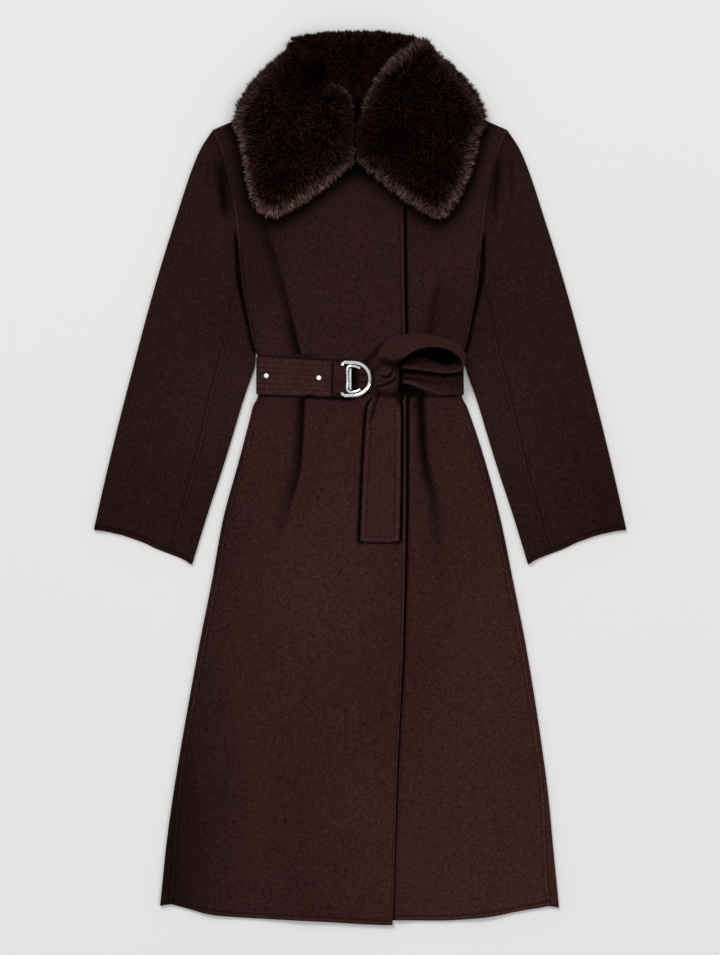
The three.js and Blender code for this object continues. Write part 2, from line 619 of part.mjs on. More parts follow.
function sleeveRow(at) {
  const row = (column) => read(SLEEVE, 'at', at, column);
  const width = Math.hypot(row('bx') - row('ax'), row('by') - row('ay'));
  const outerFold = FOLD_RADIUS;
  const innerFold = row('fold');
  const point = (distance, z, isUnderside) => {
    const [x, y] = sleevePlace(at, distance / width, isUnderside);
    return new THREE.Vector3(x, y, z);
  };
  const topZ = (distance) => {
    const share = distance / width;
    const crown = row('crown') * Math.sin(Math.PI * clamp(share / CROWN_END, 0, 1));
    const atOuter = foldRise(distance - outerFold, outerFold);
    const atInner = foldRise(width - distance - innerFold, innerFold);
    return 2 * FLAT_RADIUS + crown + atOuter + atInner;
  };
  const top = (share) => {
    const distance = share * width;
    return [0, CLOTH].map((depth) => point(distance, topZ(distance) - depth, false));
  };
  const underside = (share) => [0, CLOTH].map((depth) => point(share * width, depth, true));
  const arc = (radius, isOuter) => {
    const pairs = [];
    for (let k = 0; k <= ARC_STEPS; k += 1) {
      const angle = (Math.PI * k) / ARC_STEPS;
      pairs.push([0, CLOTH].map((depth) => {
        const reach = radius - (radius - depth) * Math.sin(angle);
        const z = radius + (radius - depth) * Math.cos(angle);
        return point(isOuter ? reach : width - reach, z, angle > Math.PI / 2);
      }));
    }
    return pairs;
  };
  const half = GAP / 2 / width;
  const seam = row('seam');
  const upper = [
    underside(REAR_SEAM - half),
    underside(REAR_SEAM / 2),
    ...arc(outerFold, true).reverse(),
    ...UPPER_COLUMNS.map((share) => top(Math.min(share, seam - SEAM_MARGIN))),
    top(seam - half),
  ];
  const under = [
    top(seam + half),
    top(lerp(seam, 1, 0.5)),
    ...arc(innerFold, false),
    ...UNDER_COLUMNS.map(underside),
    underside(REAR_SEAM + half),
  ];
  return { upper, under };
}

const sleeveRows = SLEEVE_ROWS.map(sleeveRow);
const sleeveUpper = wallFromPairs(sleeveRows.map((row) => row.upper));
const sleeveUnder = wallFromPairs(sleeveRows.map((row) => row.under));

// ---------------------------------------------------------------- fur collar
const shoulderY = (x) => NECK_Y - SHOULDER_SLOPE * (Math.abs(x) - NECK_X);
const dome = (ring, power) => Math.sqrt(1 - ring ** power);

function smoothOutline(table, count) {
  const knots = table.map((p) => new THREE.Vector3(p.x, p.y, 0));
  const curve = new THREE.CatmullRomCurve3(knots, true, 'centripetal');
  return curve.getPoints(count).slice(0, count);
}

const ROLL_PLACE = { x: 40, width: 46, start: 440, end: 560 };
const LEAF_POINTS = 40;

// A leaf lies on the fronts and comes down to the surface beyond the shoulder line.
function leaf(table, middle) {
  const underside = (x, y) => COLLAR_BASE * (1 - smooth(...COLLAR_DROP, y - shoulderY(x)));
  const top = (x, y, ring) => {
    const beside = Math.exp(-(((Math.abs(x) - ROLL_PLACE.x) / ROLL_PLACE.width) ** 2));
    const roll = COLLAR_ROLL * beside * smooth(ROLL_PLACE.start, ROLL_PLACE.end, y);
    return underside(x, y) + COLLAR_RIM + (COLLAR_LOFT + roll - COLLAR_RIM) * dome(ring, 3);
  };
  return cushion(smoothOutline(table, LEAF_POINTS), middle, LEAF_RINGS, top, underside);
}

function collarBack() {
  const top = (x, y, ring) => {
    const roll = COLLAR_BACK_ROLL * smooth(600, 640, y) * (1 - ring ** 4);
    return COLLAR_RIM + (COLLAR_BACK_LOFT - COLLAR_RIM) * dome(ring, 3) + roll;
  };
  const outline = COLLAR_BACK.map((p) => new THREE.Vector3(p.x, p.y, 0));
  return cushion(outline, { x: -5, y: 610 }, LEAF_RINGS, top, () => 0);
}

// Eye of the hook that closes the collar, on edge between the leaves.
function collarHook() {
  const eye = new THREE.TorusGeometry(HOOK.radius, HOOK.rod, 6, 12);
  eye.rotateY(Math.PI / 2);
  eye.translate(HOOK.x, HOOK.y, HOOK.z);
  return eye;
}

// ---------------------------------------------------------------- belt
// Turn of the belt round a side of the coat, from straight out to the top or the bottom.
function beltTurn(edgeX, direction, isTop) {
  const rows = [];
  for (let k = 0; k <= ARC_STEPS; k += 1) {
    const angle = (Math.PI / 2) * (k / ARC_STEPS);
    rows.push([0, BELT_CLOTH].map((depth) => {
      const radius = BELT_TURN - depth;
      const x = edgeX + direction * (BELT_TURN - radius * Math.cos(angle));
      const shift = GAP / 2 * Math.cos(angle);
      const z = BELT_TURN + (isTop ? 1 : -1) * (radius * Math.sin(angle) + shift);
      return [x, z];
    }));
  }
  return rows;
}

const RIGHT_SIDE_X = -153.8; // ends of the belt across the coat
const LEFT_SIDE_X = 151.8;
const TURN_RELAX = 26; // distance over which the belt comes down from its turn to the fronts
const ribShares = range(0, 1, 2 * RIB_COUNT);
const plainShares = range(0, 1, 4);

// Rows of a belt piece that starts on a side turn and goes on over the fronts.
function sideStretch(edgeX, direction, xs, shares, edges, ribHeight) {
  const turn = beltTurn(edgeX, direction, true);
  const turned = turn.map((pair) => shares.map((share) => pair.map(([x, z]) => (
    new THREE.Vector3(x, lerp(edges(x, 'low'), edges(x, 'high'), share), z)
  ))));
  const turnTop = 2 * BELT_TURN - BELT_CLOTH;
  const flat = xs.map((x) => shares.map((share, i) => {
    const y = lerp(edges(x, 'low'), edges(x, 'high'), share);
    const away = smooth(0, TURN_RELAX, Math.abs(x - edgeX) - BELT_TURN);
    const z = Math.max(lerp(turnTop, 0, away), frontTop(x, y) + BELT_REST);
    const rib = i % 2 === 1 ? ribHeight : 0;
    return [new THREE.Vector3(x, y, z + BELT_CLOTH + rib), new THREE.Vector3(x, y, z)];
  }));
  return [...turned, ...flat];
}

function beltBack() {
  const left = beltTurn(RIGHT_SIDE_X, 1, false);
  const right = beltTurn(LEFT_SIDE_X, -1, false).reverse();
  const middle = range(-100, 100, 4).map((x) => [[x, 0], [x, BELT_CLOTH]]);
  return wallFromPairs([...left, ...middle, ...right].map((pair) => plainShares.map((share) => (
    pair.map(([x, z]) => {
      const y = lerp(beltEdge(x, 'low'), beltEdge(x, 'high'), share);
      return new THREE.Vector3(x, y, z);
    })
  ))));
}

// The left stretch narrows into gathers where it goes under the knot.
const GATHER = { start: 58, end: 112, low: 131, high: 151 };

function beltLeftEdge(x, column) {
  const gathered = 1 - smooth(GATHER.start, GATHER.end, x);
  return lerp(beltEdge(x, column), GATHER[column], gathered);
}

// Tab that turns round the straight side of the D-ring and comes back under itself.
const TAB_START = -39 + GAP;
const TAB_MARGIN = 1.4; // between the tab's sides and the ring's corners
const TAB_START_RISE = 0.4; // its upper face at the start, over the ring's plane
const TAB_CREST = { share: 0.6, rise: 3.6 };

function beltTab() {
  const inside = RING_ROD / 2 + GAP;
  const low = RING_Z - inside - TAB_CLOTH;
  const steps = 6;
  const crestX = lerp(TAB_START, RING.straight, TAB_CREST.share);
  const section = [
    [TAB_START, RING_Z + TAB_START_RISE],
    [crestX, RING_Z + TAB_CREST.rise],
  ].map(([x, z]) => [[x, z], [x, z - TAB_CLOTH]]);
  for (let k = 0; k <= steps; k += 1) {
    const angle = Math.PI / 2 - (Math.PI * k) / steps;
    section.push([inside + TAB_CLOTH, inside].map((radius) => (
      [RING.straight + radius * Math.cos(angle), RING_Z + radius * Math.sin(angle)]
    )));
  }
  section.push([[TAB_START, low], [TAB_START, low + TAB_CLOTH]]);
  const lowEdge = (x) => lerp(beltEdge(x, 'low') + 1, RING.bottom + inside + TAB_MARGIN, narrow(x));
  const highEdge = (x) => lerp(beltEdge(x, 'high') - 1, RING.top - inside - TAB_MARGIN, narrow(x));
  const narrow = (x) => smooth(TAB_START, RING.straight - 4, x);
  return wallFromPairs(section.map((pair) => [0, 0.5, 1].map((share) => (
    pair.map(([x, z]) => new THREE.Vector3(x, lerp(lowEdge(x), highEdge(x), share), z))
  ))));
}

// D-ring: a straight side in the tab, and a bow on its side towards the knot.
function dRing() {
  const middleY = (RING.top + RING.bottom) / 2;
  const halfHeight = (RING.top - RING.bottom) / 2;
  const bowX = RING.bow - halfHeight;
  const points = [];
  const add = (x, y) => points.push(new THREE.Vector3(x, y, RING_Z));
  for (const share of [0.1, 0.37, 0.63, 0.9]) add(RING.straight, lerp(RING.bottom, RING.top, share));
  add(RING.straight + RING.corner, RING.top);
  add(lerp(RING.straight, bowX, 0.6), RING.top);
  const steps = 10;
  for (let k = 0; k <= steps; k += 1) {
    const angle = Math.PI / 2 - (Math.PI * k) / steps;
    add(bowX + halfHeight * Math.cos(angle), middleY + halfHeight * Math.sin(angle));
  }
  add(lerp(RING.straight, bowX, 0.6), RING.bottom);
  add(RING.straight + RING.corner, RING.bottom);
  return rodAlong(points, true, RING_ROD / 2, 40);
}

// Round rod along a curve through points.
const ROD_SIDES = 8;

function rodAlong(points, closed, radius, steps, sides = ROD_SIDES) {
  const curve = new THREE.CatmullRomCurve3(points, closed, 'centripetal');
  const up = new THREE.Vector3(0, 0, 1);
  const rings = [];
  const count = closed ? steps : steps + 1;
  for (let k = 0; k < count; k += 1) {
    const centre = curve.getPointAt(k / steps);
    const outward = new THREE.Vector3().crossVectors(curve.getTangentAt(k / steps), up).normalize();
    rings.push(Array.from({ length: sides }, (_, i) => {
      const angle = (2 * Math.PI * i) / sides;
      return centre.clone()
        .addScaledVector(outward, radius * Math.cos(angle))
        .addScaledVector(up, radius * Math.sin(angle));
    }));
  }
  const triangles = [];
  const at = (ring, i) => (ring % count) * sides + (i % sides);
  for (let k = 0; k < (closed ? count : count - 1); k += 1) {
    for (let i = 0; i < sides; i += 1) {
      triangles.push([at(k, i), at(k, i + 1), at(k + 1, i + 1)]);
      triangles.push([at(k, i), at(k + 1, i + 1), at(k + 1, i)]);
    }
  }
  const vertices = rings.flat();
  if (!closed) {
    for (let i = 1; i < sides - 1; i += 1) {
      triangles.push([at(0, 0), at(0, i + 1), at(0, i)]);
      triangles.push([at(count - 1, 0), at(count - 1, i), at(count - 1, i + 1)]);
    }
  }
  return solid(vertices, triangles);
}

// Double bar inside the D-ring: one rod bent into a narrow frame, whose arms run to the bow,
// and a second rod beside the frame's upright.
const BAR_HALF = [
  { x: BAR_ARM_END, fromEnd: 3.4 },
  { x: BAR_ARM_END - 6, fromEnd: 0.8 },
  { x: BAR_X + 4, fromEnd: 0 },
  { x: BAR_X, fromEnd: 2.5 },
  { x: BAR_X, fromEnd: 14 },
];

function buckleBar() {
  const inside = RING_ROD / 2 + BAR_ROD / 2 + 2 * GAP;
  const top = RING.top - inside;
  const bottom = RING.bottom + inside;
  const upper = BAR_HALF.map((point) => [point.x, top - point.fromEnd]);
  const lower = BAR_HALF.map((point) => [point.x, bottom + point.fromEnd]).reverse();
  const bent = [...upper, ...lower].map(([x, y]) => new THREE.Vector3(x, y, RING_Z));
  const frame = rodAlong(bent, false, BAR_ROD / 2, 26);
  const innerX = BAR_X + BAR_ROD + 2 * GAP;
  const straight = range(bottom + BAR_ROD, top - BAR_ROD, 2);
  const inner = rodAlong(straight.map((y) => new THREE.Vector3(innerX, y, RING_Z)), false, BAR_ROD / 2, 6);
  return { frame, inner };
}

// Gathered stretch that comes from the knot, passes under the bow and ends inside the ring.
const RING_TURN = [
  { x: -3, low: 129, high: 159 },
  { x: 5, low: 126, high: 161.5 },
  { x: 18.5, low: 121, high: 166 },
];
const PLEATS = 3;
const PLEAT_HEIGHT = 0.5;
const PRESSED_CLOTH = 1.5; // thickness of the belt where it is pulled tight

function ringTurn() {
  const shares = range(0, 1, 2 * PLEATS);
  return wallFromPairs(range(-3, 18.5, 6).map((x) => shares.map((share, i) => {
    const y = lerp(read(RING_TURN, 'x', x, 'low'), read(RING_TURN, 'x', x, 'high'), share);
    const z = frontTop(x, y) + BELT_REST;
    const thickness = PRESSED_CLOTH + (i % 2 === 1 ? PLEAT_HEIGHT : 0);
    return [new THREE.Vector3(x, y, z + thickness), new THREE.Vector3(x, y, z)];
  })));
}

// Tail of the belt on the over front, with a crease beside its edge below the knot.
const TAIL_CREASE = { share: 0.12, high: 1.6, start: 40, full: 100, end: 122 };

function beltTail() {
  const rows = stations(TAIL, 'y', 20);
  return wallFromPairs(rows.map((y) => [0, TAIL_CREASE.share, 0.4, 0.7, 1].map((share) => {
    const x = lerp(read(TAIL, 'y', y, 'left'), read(TAIL, 'y', y, 'right'), share);
    const { start, full, end } = TAIL_CREASE;
    const onCrease = share === TAIL_CREASE.share ? TAIL_CREASE.high : 0;
    const crease = onCrease * smooth(start, full, y) * (1 - smooth(full, end, y));
    const z = frontTop(x, y) + BELT_REST;
    return [new THREE.Vector3(x, y, z + BELT_CLOTH + crease), new THREE.Vector3(x, y, z)];
  })));
}

// Knot: a band wrapped over the others, with grooves between its turns, round one corner.
const KNOT_POINTS = 26;
const KNOT_SQUARENESS = 0.1;
const KNOT_RINGS = [0.2, 0.4, 0.58, 0.74, 0.87, 0.96];

function beltKnot() {
  const outline = Array.from({ length: KNOT_POINTS }, (_, i) => {
    const angle = (2 * Math.PI * i) / KNOT_POINTS;
    const square = 1 + KNOT_SQUARENESS * Math.sin(2 * angle) ** 2;
    const x = KNOT.x + KNOT.halfX * square * Math.cos(angle);
    const y = KNOT.y + KNOT.halfY * square * Math.sin(angle);
    return { x, y };
  });
  const top = (x, y, ring) => {
    const turns = Math.hypot(x - KNOT_GROOVE.x, y - KNOT_GROOVE.y) / KNOT_GROOVE.step;
    const groove = (KNOT_GROOVE.depth / 2) * (1 - Math.cos(2 * Math.PI * turns));
    return KNOT.base + BELT_CLOTH + KNOT.high * dome(ring, 4) - groove * (1 - ring ** 4);
  };
  return cushion(outline, KNOT, KNOT_RINGS, top, () => KNOT.base);
}

// Ear of the half bow: a band between the two edges of the table, its wall turned outwards.
const EAR_STEPS = 30;

function beltEar() {
  const curve = (a, b, c) => new THREE.CatmullRomCurve3(
    EAR.map((row) => new THREE.Vector3(row[a], row[b], row[c])), false, 'centripetal',
  );
  const lower = curve('x1', 'y1', 'z1');
  const upper = curve('x2', 'y2', 'z2');
  return wallFromPairs(range(0, 1, EAR_STEPS).map((t) => {
    const low = lower.getPoint(t);
    const high = upper.getPoint(t);
    const along = lower.getTangent(t).add(upper.getTangent(t));
    const across = new THREE.Vector3().subVectors(high, low);
    const outward = new THREE.Vector3().crossVectors(across, along).normalize();
    return range(0, 1, 3).map((share) => {
      const inner = low.clone().lerp(high, share);
      return [inner.clone().addScaledVector(outward, BELT_CLOTH), inner];
    });
  }));
}

// Domed head of a rivet on the ribs of the quilted stretch.
function rivet(x, y) {
  const base = highest(quiltTop, x, y, RIVET_RADIUS) + GAP;
  const profile = [
    { radius: 0, height: 0 },
    { radius: 1, height: 0 },
    { radius: 1, height: 0.4 },
    { radius: 0.72, height: 0.82 },
    { radius: 0, height: 1 },
  ].map((point) => new THREE.Vector2(point.radius * RIVET_RADIUS, point.height * RIVET_HEIGHT));
  const head = new THREE.LatheGeometry(profile, 14);
  head.rotateX(Math.PI / 2);
  head.translate(x, y, base);
  return head;
}

// Highest place of a panel inside a circle.
function highest(grid, x, y, radius) {
  const angles = range(0, 2 * Math.PI, 24);
  return Math.max(...[0.5, 1].flatMap((share) => angles.map((angle) => (
    heightOf(grid, x + share * radius * Math.cos(angle), y + share * radius * Math.sin(angle))
  ))));
}

// ---------------------------------------------------------------- coat
const wool = () => new THREE.MeshStandardMaterial({ color: 0x36211f, roughness: 0.95, metalness: 0 });
const fur = () => new THREE.MeshStandardMaterial({ color: 0x2a1717, roughness: 1, metalness: 0 });
const steel = () => new THREE.MeshStandardMaterial({ color: 0xd8d8da, roughness: 0.18, metalness: 1 });

const coat = new THREE.Group();
function add(name, geometry, material) {
  const mesh = new THREE.Mesh(geometry, material);
  mesh.name = name;
  coat.add(mesh);
}

add('back', wallFromPairs(backPairs()), wool());
add('front_right_over', wallFromPairs(overFront), wool());
add('front_left_under', wallFromPairs(underFront), wool());
add('sleeve_right_upper', sleeveUpper, wool());
add('sleeve_right_under', sleeveUnder, wool());
add('sleeve_left_upper', mirrored(sleeveUpper), wool());
add('sleeve_left_under', mirrored(sleeveUnder), wool());
add('collar_back', collarBack(), fur());
add('collar_leaf_right', leaf(RIGHT_LEAF, { x: -95, y: 500 }), fur());
add('collar_leaf_left', leaf(LEFT_LEAF, { x: 90, y: 500 }), fur());
add('collar_hook', collarHook(), steel());

add('belt_back', beltBack(), wool());
const quiltXs = [-143, -136, -127, -116, -104, -94, -84, -74, -64, -52, -39];
const leftXs = [141, 132, 120, 108, 96, 84, 74, 66, 59];
const quilted = sideStretch(RIGHT_SIDE_X, 1, quiltXs, ribShares, beltEdge, RIB_HEIGHT);
const plainLeft = sideStretch(LEFT_SIDE_X, -1, leftXs, plainShares, beltLeftEdge, 0);
const quiltTop = upperFace(quilted);
add('belt_right_quilted', wallFromPairs(quilted), wool());
add('belt_left', wallFromPairs(plainLeft), wool());
add('belt_tab', beltTab(), wool());
add('belt_ring_turn', ringTurn(), wool());
add('belt_knot', beltKnot(), wool());
add('belt_ear', beltEar(), wool());
add('belt_tail', beltTail(), wool());

const bar = buckleBar();
add('d_ring', dRing(), steel());
add('buckle_bar_frame', bar.frame, steel());
add('buckle_bar_inner', bar.inner, steel());
add('rivet_outer', rivet(-135.7, 148), steel());
add('rivet_inner', rivet(-59.6, 145), steel());

export default coat;
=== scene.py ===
"""Looks of a long belted wool coat with a fur collar, laid flat with its front up.

Sizes in this file are millimetres; meshes are made in metres. +X runs to the wearer's left,
+Y to the collar and +Z up from the surface the coat lies on.
"""
import math

import bpy
import numpy as np
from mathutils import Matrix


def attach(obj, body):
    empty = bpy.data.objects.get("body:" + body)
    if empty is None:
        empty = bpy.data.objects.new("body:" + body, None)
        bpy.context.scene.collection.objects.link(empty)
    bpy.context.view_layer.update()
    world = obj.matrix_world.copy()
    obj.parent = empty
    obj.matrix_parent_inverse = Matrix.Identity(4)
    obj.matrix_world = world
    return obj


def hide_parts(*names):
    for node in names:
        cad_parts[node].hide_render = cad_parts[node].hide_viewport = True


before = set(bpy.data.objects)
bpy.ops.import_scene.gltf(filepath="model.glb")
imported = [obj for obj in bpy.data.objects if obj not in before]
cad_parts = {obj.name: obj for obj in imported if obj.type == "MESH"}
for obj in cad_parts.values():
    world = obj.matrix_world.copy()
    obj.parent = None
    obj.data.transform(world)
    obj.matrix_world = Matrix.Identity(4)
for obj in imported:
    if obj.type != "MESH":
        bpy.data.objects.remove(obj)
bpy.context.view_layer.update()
rng = np.random.default_rng(11)
MM = 0.001
UP = np.array([0, 0, 1.0])

# ------------------------------------------------------------------ sizes of the solids
CLOTH = 2.2
GAP = 0.3
LAYER = CLOTH + GAP
FOLD_RADIUS = 3.35
FLAT_RADIUS = CLOTH + GAP / 2
TOP_Y, HEM_Y, HEM_FADE_Y, RISE_Y = 504.5, -616, -330, 300
BELT_CLOTH = 3.0
BELT_LIFT = 3.3
BELT_TURN = 7.6
BELT_REST = 0.45
TURN_ROWS = 8
RIBS = 7
BELT_LEFT, BELT_RIGHT = -150.6, 150.4
TUCK_LIFT = 5.6

# y, left, right, lap, turn of the body's edges
SIDES = np.array([
    (-616, -290, 288.4, 11.5, 180), (-590, -287.3, 285.8, 12.5, 180),
    (-529, -281, 279.7, 10, 180), (-461, -271.5, 273.2, 6.2, 180), (-391, -260, 263.8, 4.6, 180),
    (-323, -248, 253.6, 4.35, 180), (-236, -232, 239, 4.35, 180),
    (-149, -214.7, 221.7, 4.35, 180), (-62, -199, 204, 4.35, 180), (25, -175.6, 181, 4.35, 180),
    (83, -160.4, 162.3, 4.35, 180), (106, -154.5, 153.6, 4.35, 180),
    (119, -147.4, 146.9, 4.35, 180), (148, -147.2, 146.7, 4.35, 180),
    (174, -147.4, 146.9, 4.35, 180), (181, -150.6, 150.2, 4.35, 180),
    (192, -154.5, 154.5, 4.35, 180), (235, -163, 163, 4.35, 180), (279, -170.8, 170.8, 4.35, 180),
    (300, -172.9, 172.9, 4.35, 180), (310, -173.8, 173.8, 4.35, 120),
    (320, -174.7, 174.7, 4.35, 48), (330, -175.6, 175.6, 4.35, 9), (386, -181, 181, 4.35, 9),
    (446, -193, 193, 4.35, 9), (480, -202.5, 202.5, 4.35, 9), (504.5, -213, 213, 4.35, 9),
], float)

# share of the width, hang of the over front, the under front and the back below the sides
HEM = np.array([
    (0, -4.5, -4.5, -4.5), (0.021, -1.7, -1.7, -1.7), (0.059, -6.6, -6.6, -4),
    (0.088, -11.1, -11, -8.5), (0.116, -15.6, -15.5, -13), (0.155, -19, -18.5, -16),
    (0.225, -21.8, -21.5, -19), (0.4, -27, -25, -24), (0.585, -32, -25, -24),
    (0.7, -32, -25.5, -24), (0.802, -32, -21.9, -19.5), (0.84, -32, -19, -16.5),
    (0.878, -32, -14.5, -12), (0.909, -32, -11.1, -8.5), (0.952, -32, -7, -4.5),
    (0.98, -32, -4.5, -4.5), (1, -32, -7.2, -7.2),
], float)

# share of the width, rise of the over front, the under front and the back at the top
NECK = np.array([
    (0, 0, -44.5, 0), (0.324, 60.5, -44.5, 60.5), (0.355, 25.5, -44.5, 58),
    (0.406, -9.5, -42, 52), (0.5, -34.5, -34.5, 47.5), (0.594, -42, -9.5, 52),
    (0.645, -44.5, 25.5, 58), (0.676, -44.5, 60.5, 60.5), (1, -44.5, 0, 0),
], float)
PANEL = {"over": 1, "under": 2, "back": 3}

FREE_EDGE = np.array([
    (-616, 47), (-439, 53), (-235, 62.5), (0, 66.6), (120, 66.6), (300, 64), (504.5, 62),
], float)

# at, fold a x and y, fold b x and y, seam share, share of the cuff's dip, cap share, inner
# fold, crown
SLEEVE = np.array([
    (0, -386, -75.5, -243.5, -126, 0.8, 1, 0, 3.35, 2.4),
    (1, -370.5, -6, -222.5, -57, 0.79, 0.25, 0, 3.35, 3.2),
    (2, -349, 83, -196, 24, 0.765, 0, 0, 3.35, 2.6),
    (3, -327, 168, -170, 110, 0.735, 0, 0, 3.35, 3.2),
    (4, -306, 247, -152.2, 166, 0.72, 0, 0, 2.6, 3),
    (5, -289, 306, -151.2, 185, 0.725, 0, 0.06, 2.35, 2.6),
    (6, -267, 376, -143, 216, 0.745, 0, 0.28, 2.35, 3.4),
    (7, -243.5, 447, -133, 244, 0.765, 0, 0.62, 2.35, 2),
    (8, -230.8, 477, -129.5, 253, 0.7725, 0, 0.81, 2.35, 1),
    (9, -213, 504.5, -126, 262, 0.78, 0, 1, 2.35, 0),
], float)

# Length of the sleeve from the table's first row to its second.
CUFF_STEP = 71
# Shares from fold to fold, and how far the cuff's edge lies above the line between them.
CUFF_DIP = ([0, 0.09, 0.22, 0.33, 0.5, 0.64, 0.81, 0.9, 1], [0, 3.2, 5.9, 7.4, 7.3, 4.8, 4.2, 3.6, 0])

RIGHT_LEAF = [
    (-125, 377), (-94, 391), (-58, 415), (-24, 442), (-10, 459), (-9, 490), (-9, 528), (-14, 553),
    (-24, 566), (-37, 569), (-48, 580), (-51, 601), (-64, 615), (-82, 629), (-100, 634),
    (-113, 617), (-146, 588), (-172, 553), (-184, 518), (-177, 495), (-169, 458), (-159, 407),
    (-146, 386),
]
LEFT_LEAF = [
    (113, 377), (95, 383), (56, 409), (18, 439), (1, 453), (-5, 470), (-5, 508), (2, 526),
    (5, 544), (20, 578), (45, 611), (60, 624), (80, 636), (102, 633), (113, 617), (146, 588),
    (172, 553), (183, 520), (172, 490), (165, 458), (155, 430), (144, 407), (131, 387),
]
COLLAR_BACK = [
    (-3, 551), (10, 554), (22, 577), (46.5, 610), (61, 623.5), (80, 635.5), (76, 641),
    (50, 645), (16, 648), (-45, 646.5), (-80, 641), (-98.5, 635), (-84, 628.8), (-66, 614.4),
    (-53.4, 600.4), (-50.4, 579.4), (-38.6, 567.6), (-25, 564.6), (-15, 554.4),
]

BELT_EDGES = np.array([(-154, 121.5, 176), (-39, 118, 169.5), (60, 119, 171), (152, 120, 172)], float)
TAIL = np.array([
    (-93, 0.2, 56.7), (-14.5, 3.5, 58.5), (70, 8, 59), (104, 11.5, 58.6), (119, 20.5, 53),
    (142, 25, 48),
], float)
EAR = np.array([
    (26.5, 171.4, 15.5, 40, 167.4, 34), (31, 187, 13.2, 52, 170, 43),
    (45, 201.5, 12.2, 64, 174, 52), (72, 206.8, 12, 82, 184, 57),
    (103, 204.4, 12, 104, 188, 60), (132, 195.7, 12, 126, 184.5, 60),
    (145, 185.6, 12.6, 137.5, 177, 60), (147, 176, 16.5, 145, 170, 58),
    (138, 168, 18, 145, 158.5, 56), (121.6, 164.5, 17, 127, 153.5, 54),
    (94, 174.4, 15.2, 98, 156.5, 50), (66, 171, 16.5, 61, 160.5, 35),
], float)


# ------------------------------------------------------------------ numbers
def smooth(start, end, value):
    """From 0 at the start to 1 at the end, eased."""
    t = np.clip((np.asarray(value, float) - start) / (end - start), 0, 1)
    return t * t * (3 - 2 * t)


def bump(value):
    """1 at 0, and less on both sides."""
    return np.exp(-value ** 2)


def curve(xs, ys, value):
    """Smooth curve without overshoot through the points of a table."""
    xs, ys, value = np.asarray(xs, float), np.asarray(ys, float), np.asarray(value, float)
    slope = np.diff(ys) / np.diff(xs)
    tangent = np.empty_like(ys)
    tangent[0], tangent[-1] = slope[0], slope[-1]
    before, after = slope[:-1], slope[1:]
    same = before * after > 0
    total = np.where(same, before + after, 1)
    tangent[1:-1] = np.where(same, 2 * before * after / total, 0)
    value = np.clip(value, xs[0], xs[-1])
    i = np.clip(np.searchsorted(xs, value, side="right") - 1, 0, len(xs) - 2)
    width = xs[i + 1] - xs[i]
    t = (value - xs[i]) / width
    return ((1 + 2 * t) * (1 - t) ** 2 * ys[i] + t * (1 - t) ** 2 * width * tangent[i]
            + t * t * (3 - 2 * t) * ys[i + 1] + t * t * (t - 1) * width * tangent[i + 1])


# Distances from an edge that is rounded and stitched to the rows of points along it.
FINE = np.array([0, 0.3, 0.75, 1.3, 2.1, 3.2, 4.3, 5.2, 5.9, 6.6, 7.4, 8.6, 10.5])


def spaced(start, end, step, fine_start, fine_end):
    """Places from start to end, close together at an edge that is rounded and stitched."""
    length = end - start
    head = FINE if fine_start else FINE[:1]
    tail = length - (FINE[::-1] if fine_end else FINE[:1])
    count = max(2, int(round((tail[0] - head[-1]) / step)))
    middle = np.linspace(head[-1], tail[0], count + 1)[1:-1]
    return start + np.concatenate([head, middle, tail])


def smooth_line(points, count, closed=False):
    """Smooth curve through points, evenly spaced."""
    p = np.asarray(points, float)
    if closed:
        p = np.vstack([p[-1:], p, p[:2]])
    else:
        p = np.vstack([2 * p[0] - p[1], p, 2 * p[-1] - p[-2]])
    out = []
    for p0, p1, p2, p3 in zip(p, p[1:], p[2:], p[3:]):
        for t in np.linspace(0, 1, 12 if closed else 16, endpoint=False):
            out.append(0.5 * (2 * p1 + (p2 - p0) * t + (2 * p0 - 5 * p1 + 4 * p2 - p3) * t * t
                              + (3 * p1 - p0 - 3 * p2 + p3) * t ** 3))
    out = np.array(out + [p[-2]])
    return walked(out, np.linspace(0, travelled(out)[-1], count, endpoint=not closed))


def travelled(path):
    """Length of a path from its start to each of its points."""
    steps = np.linalg.norm(np.diff(path, axis=0), axis=1)
    return np.concatenate([[0], np.cumsum(steps)])


def walked(path, at):
    """Points of a path at given lengths from its start."""
    reach = travelled(path)
    return np.stack([np.interp(at, reach, column) for column in path.T], -1)


def read(table, column, at):
    """Value in a column of a table, by the value in its first column."""
    return curve(table[:, 0], table[:, column], at)


def merged(coarse, fine):
    """Both series in order, without the coarse places inside the fine stretch."""
    near = 0.3 * (fine[1] - fine[0])
    outside = (coarse < fine[0] - near) | (coarse > fine[-1] + near)
    return np.sort(np.concatenate([coarse[outside], fine]))


def waves(x, y, seed, scale, count=7):
    """Gentle uneven rise and fall, between about -1 and 1."""
    own = np.random.default_rng(seed)
    total = np.zeros(np.broadcast(x, y).shape)
    for _ in range(count):
        angle = own.uniform(0, 2 * math.pi)
        size = scale * own.uniform(0.6, 1.7)
        phase = own.uniform(0, 2 * math.pi)
        total += np.sin((x * math.cos(angle) + y * math.sin(angle)) * 2 * math.pi / size + phase)
    return total / math.sqrt(count) / 1.4


# ------------------------------------------------------------------ lie of the body
def side(y, column):
    return read(SIDES, {"left": 1, "right": 2, "lap": 3, "turn": 4}[column], y)


def free_edge(y):
    return read(FREE_EDGE, 1, y)


def lift(x, y, more=0):
    """How far the belt behind and the tuck above it raise the body."""
    over_belt = smooth(83, 114, y) * (1 - smooth(180, 211, y))
    inner = np.interp(y, [184, 262], [144, 115]) - more
    tuck = smooth(150, 186, y) * (1 - smooth(300, 330, y)) * smooth(inner - 35, inner, np.abs(x))
    return BELT_LIFT * over_belt * (1 - tuck) + TUCK_LIFT * tuck


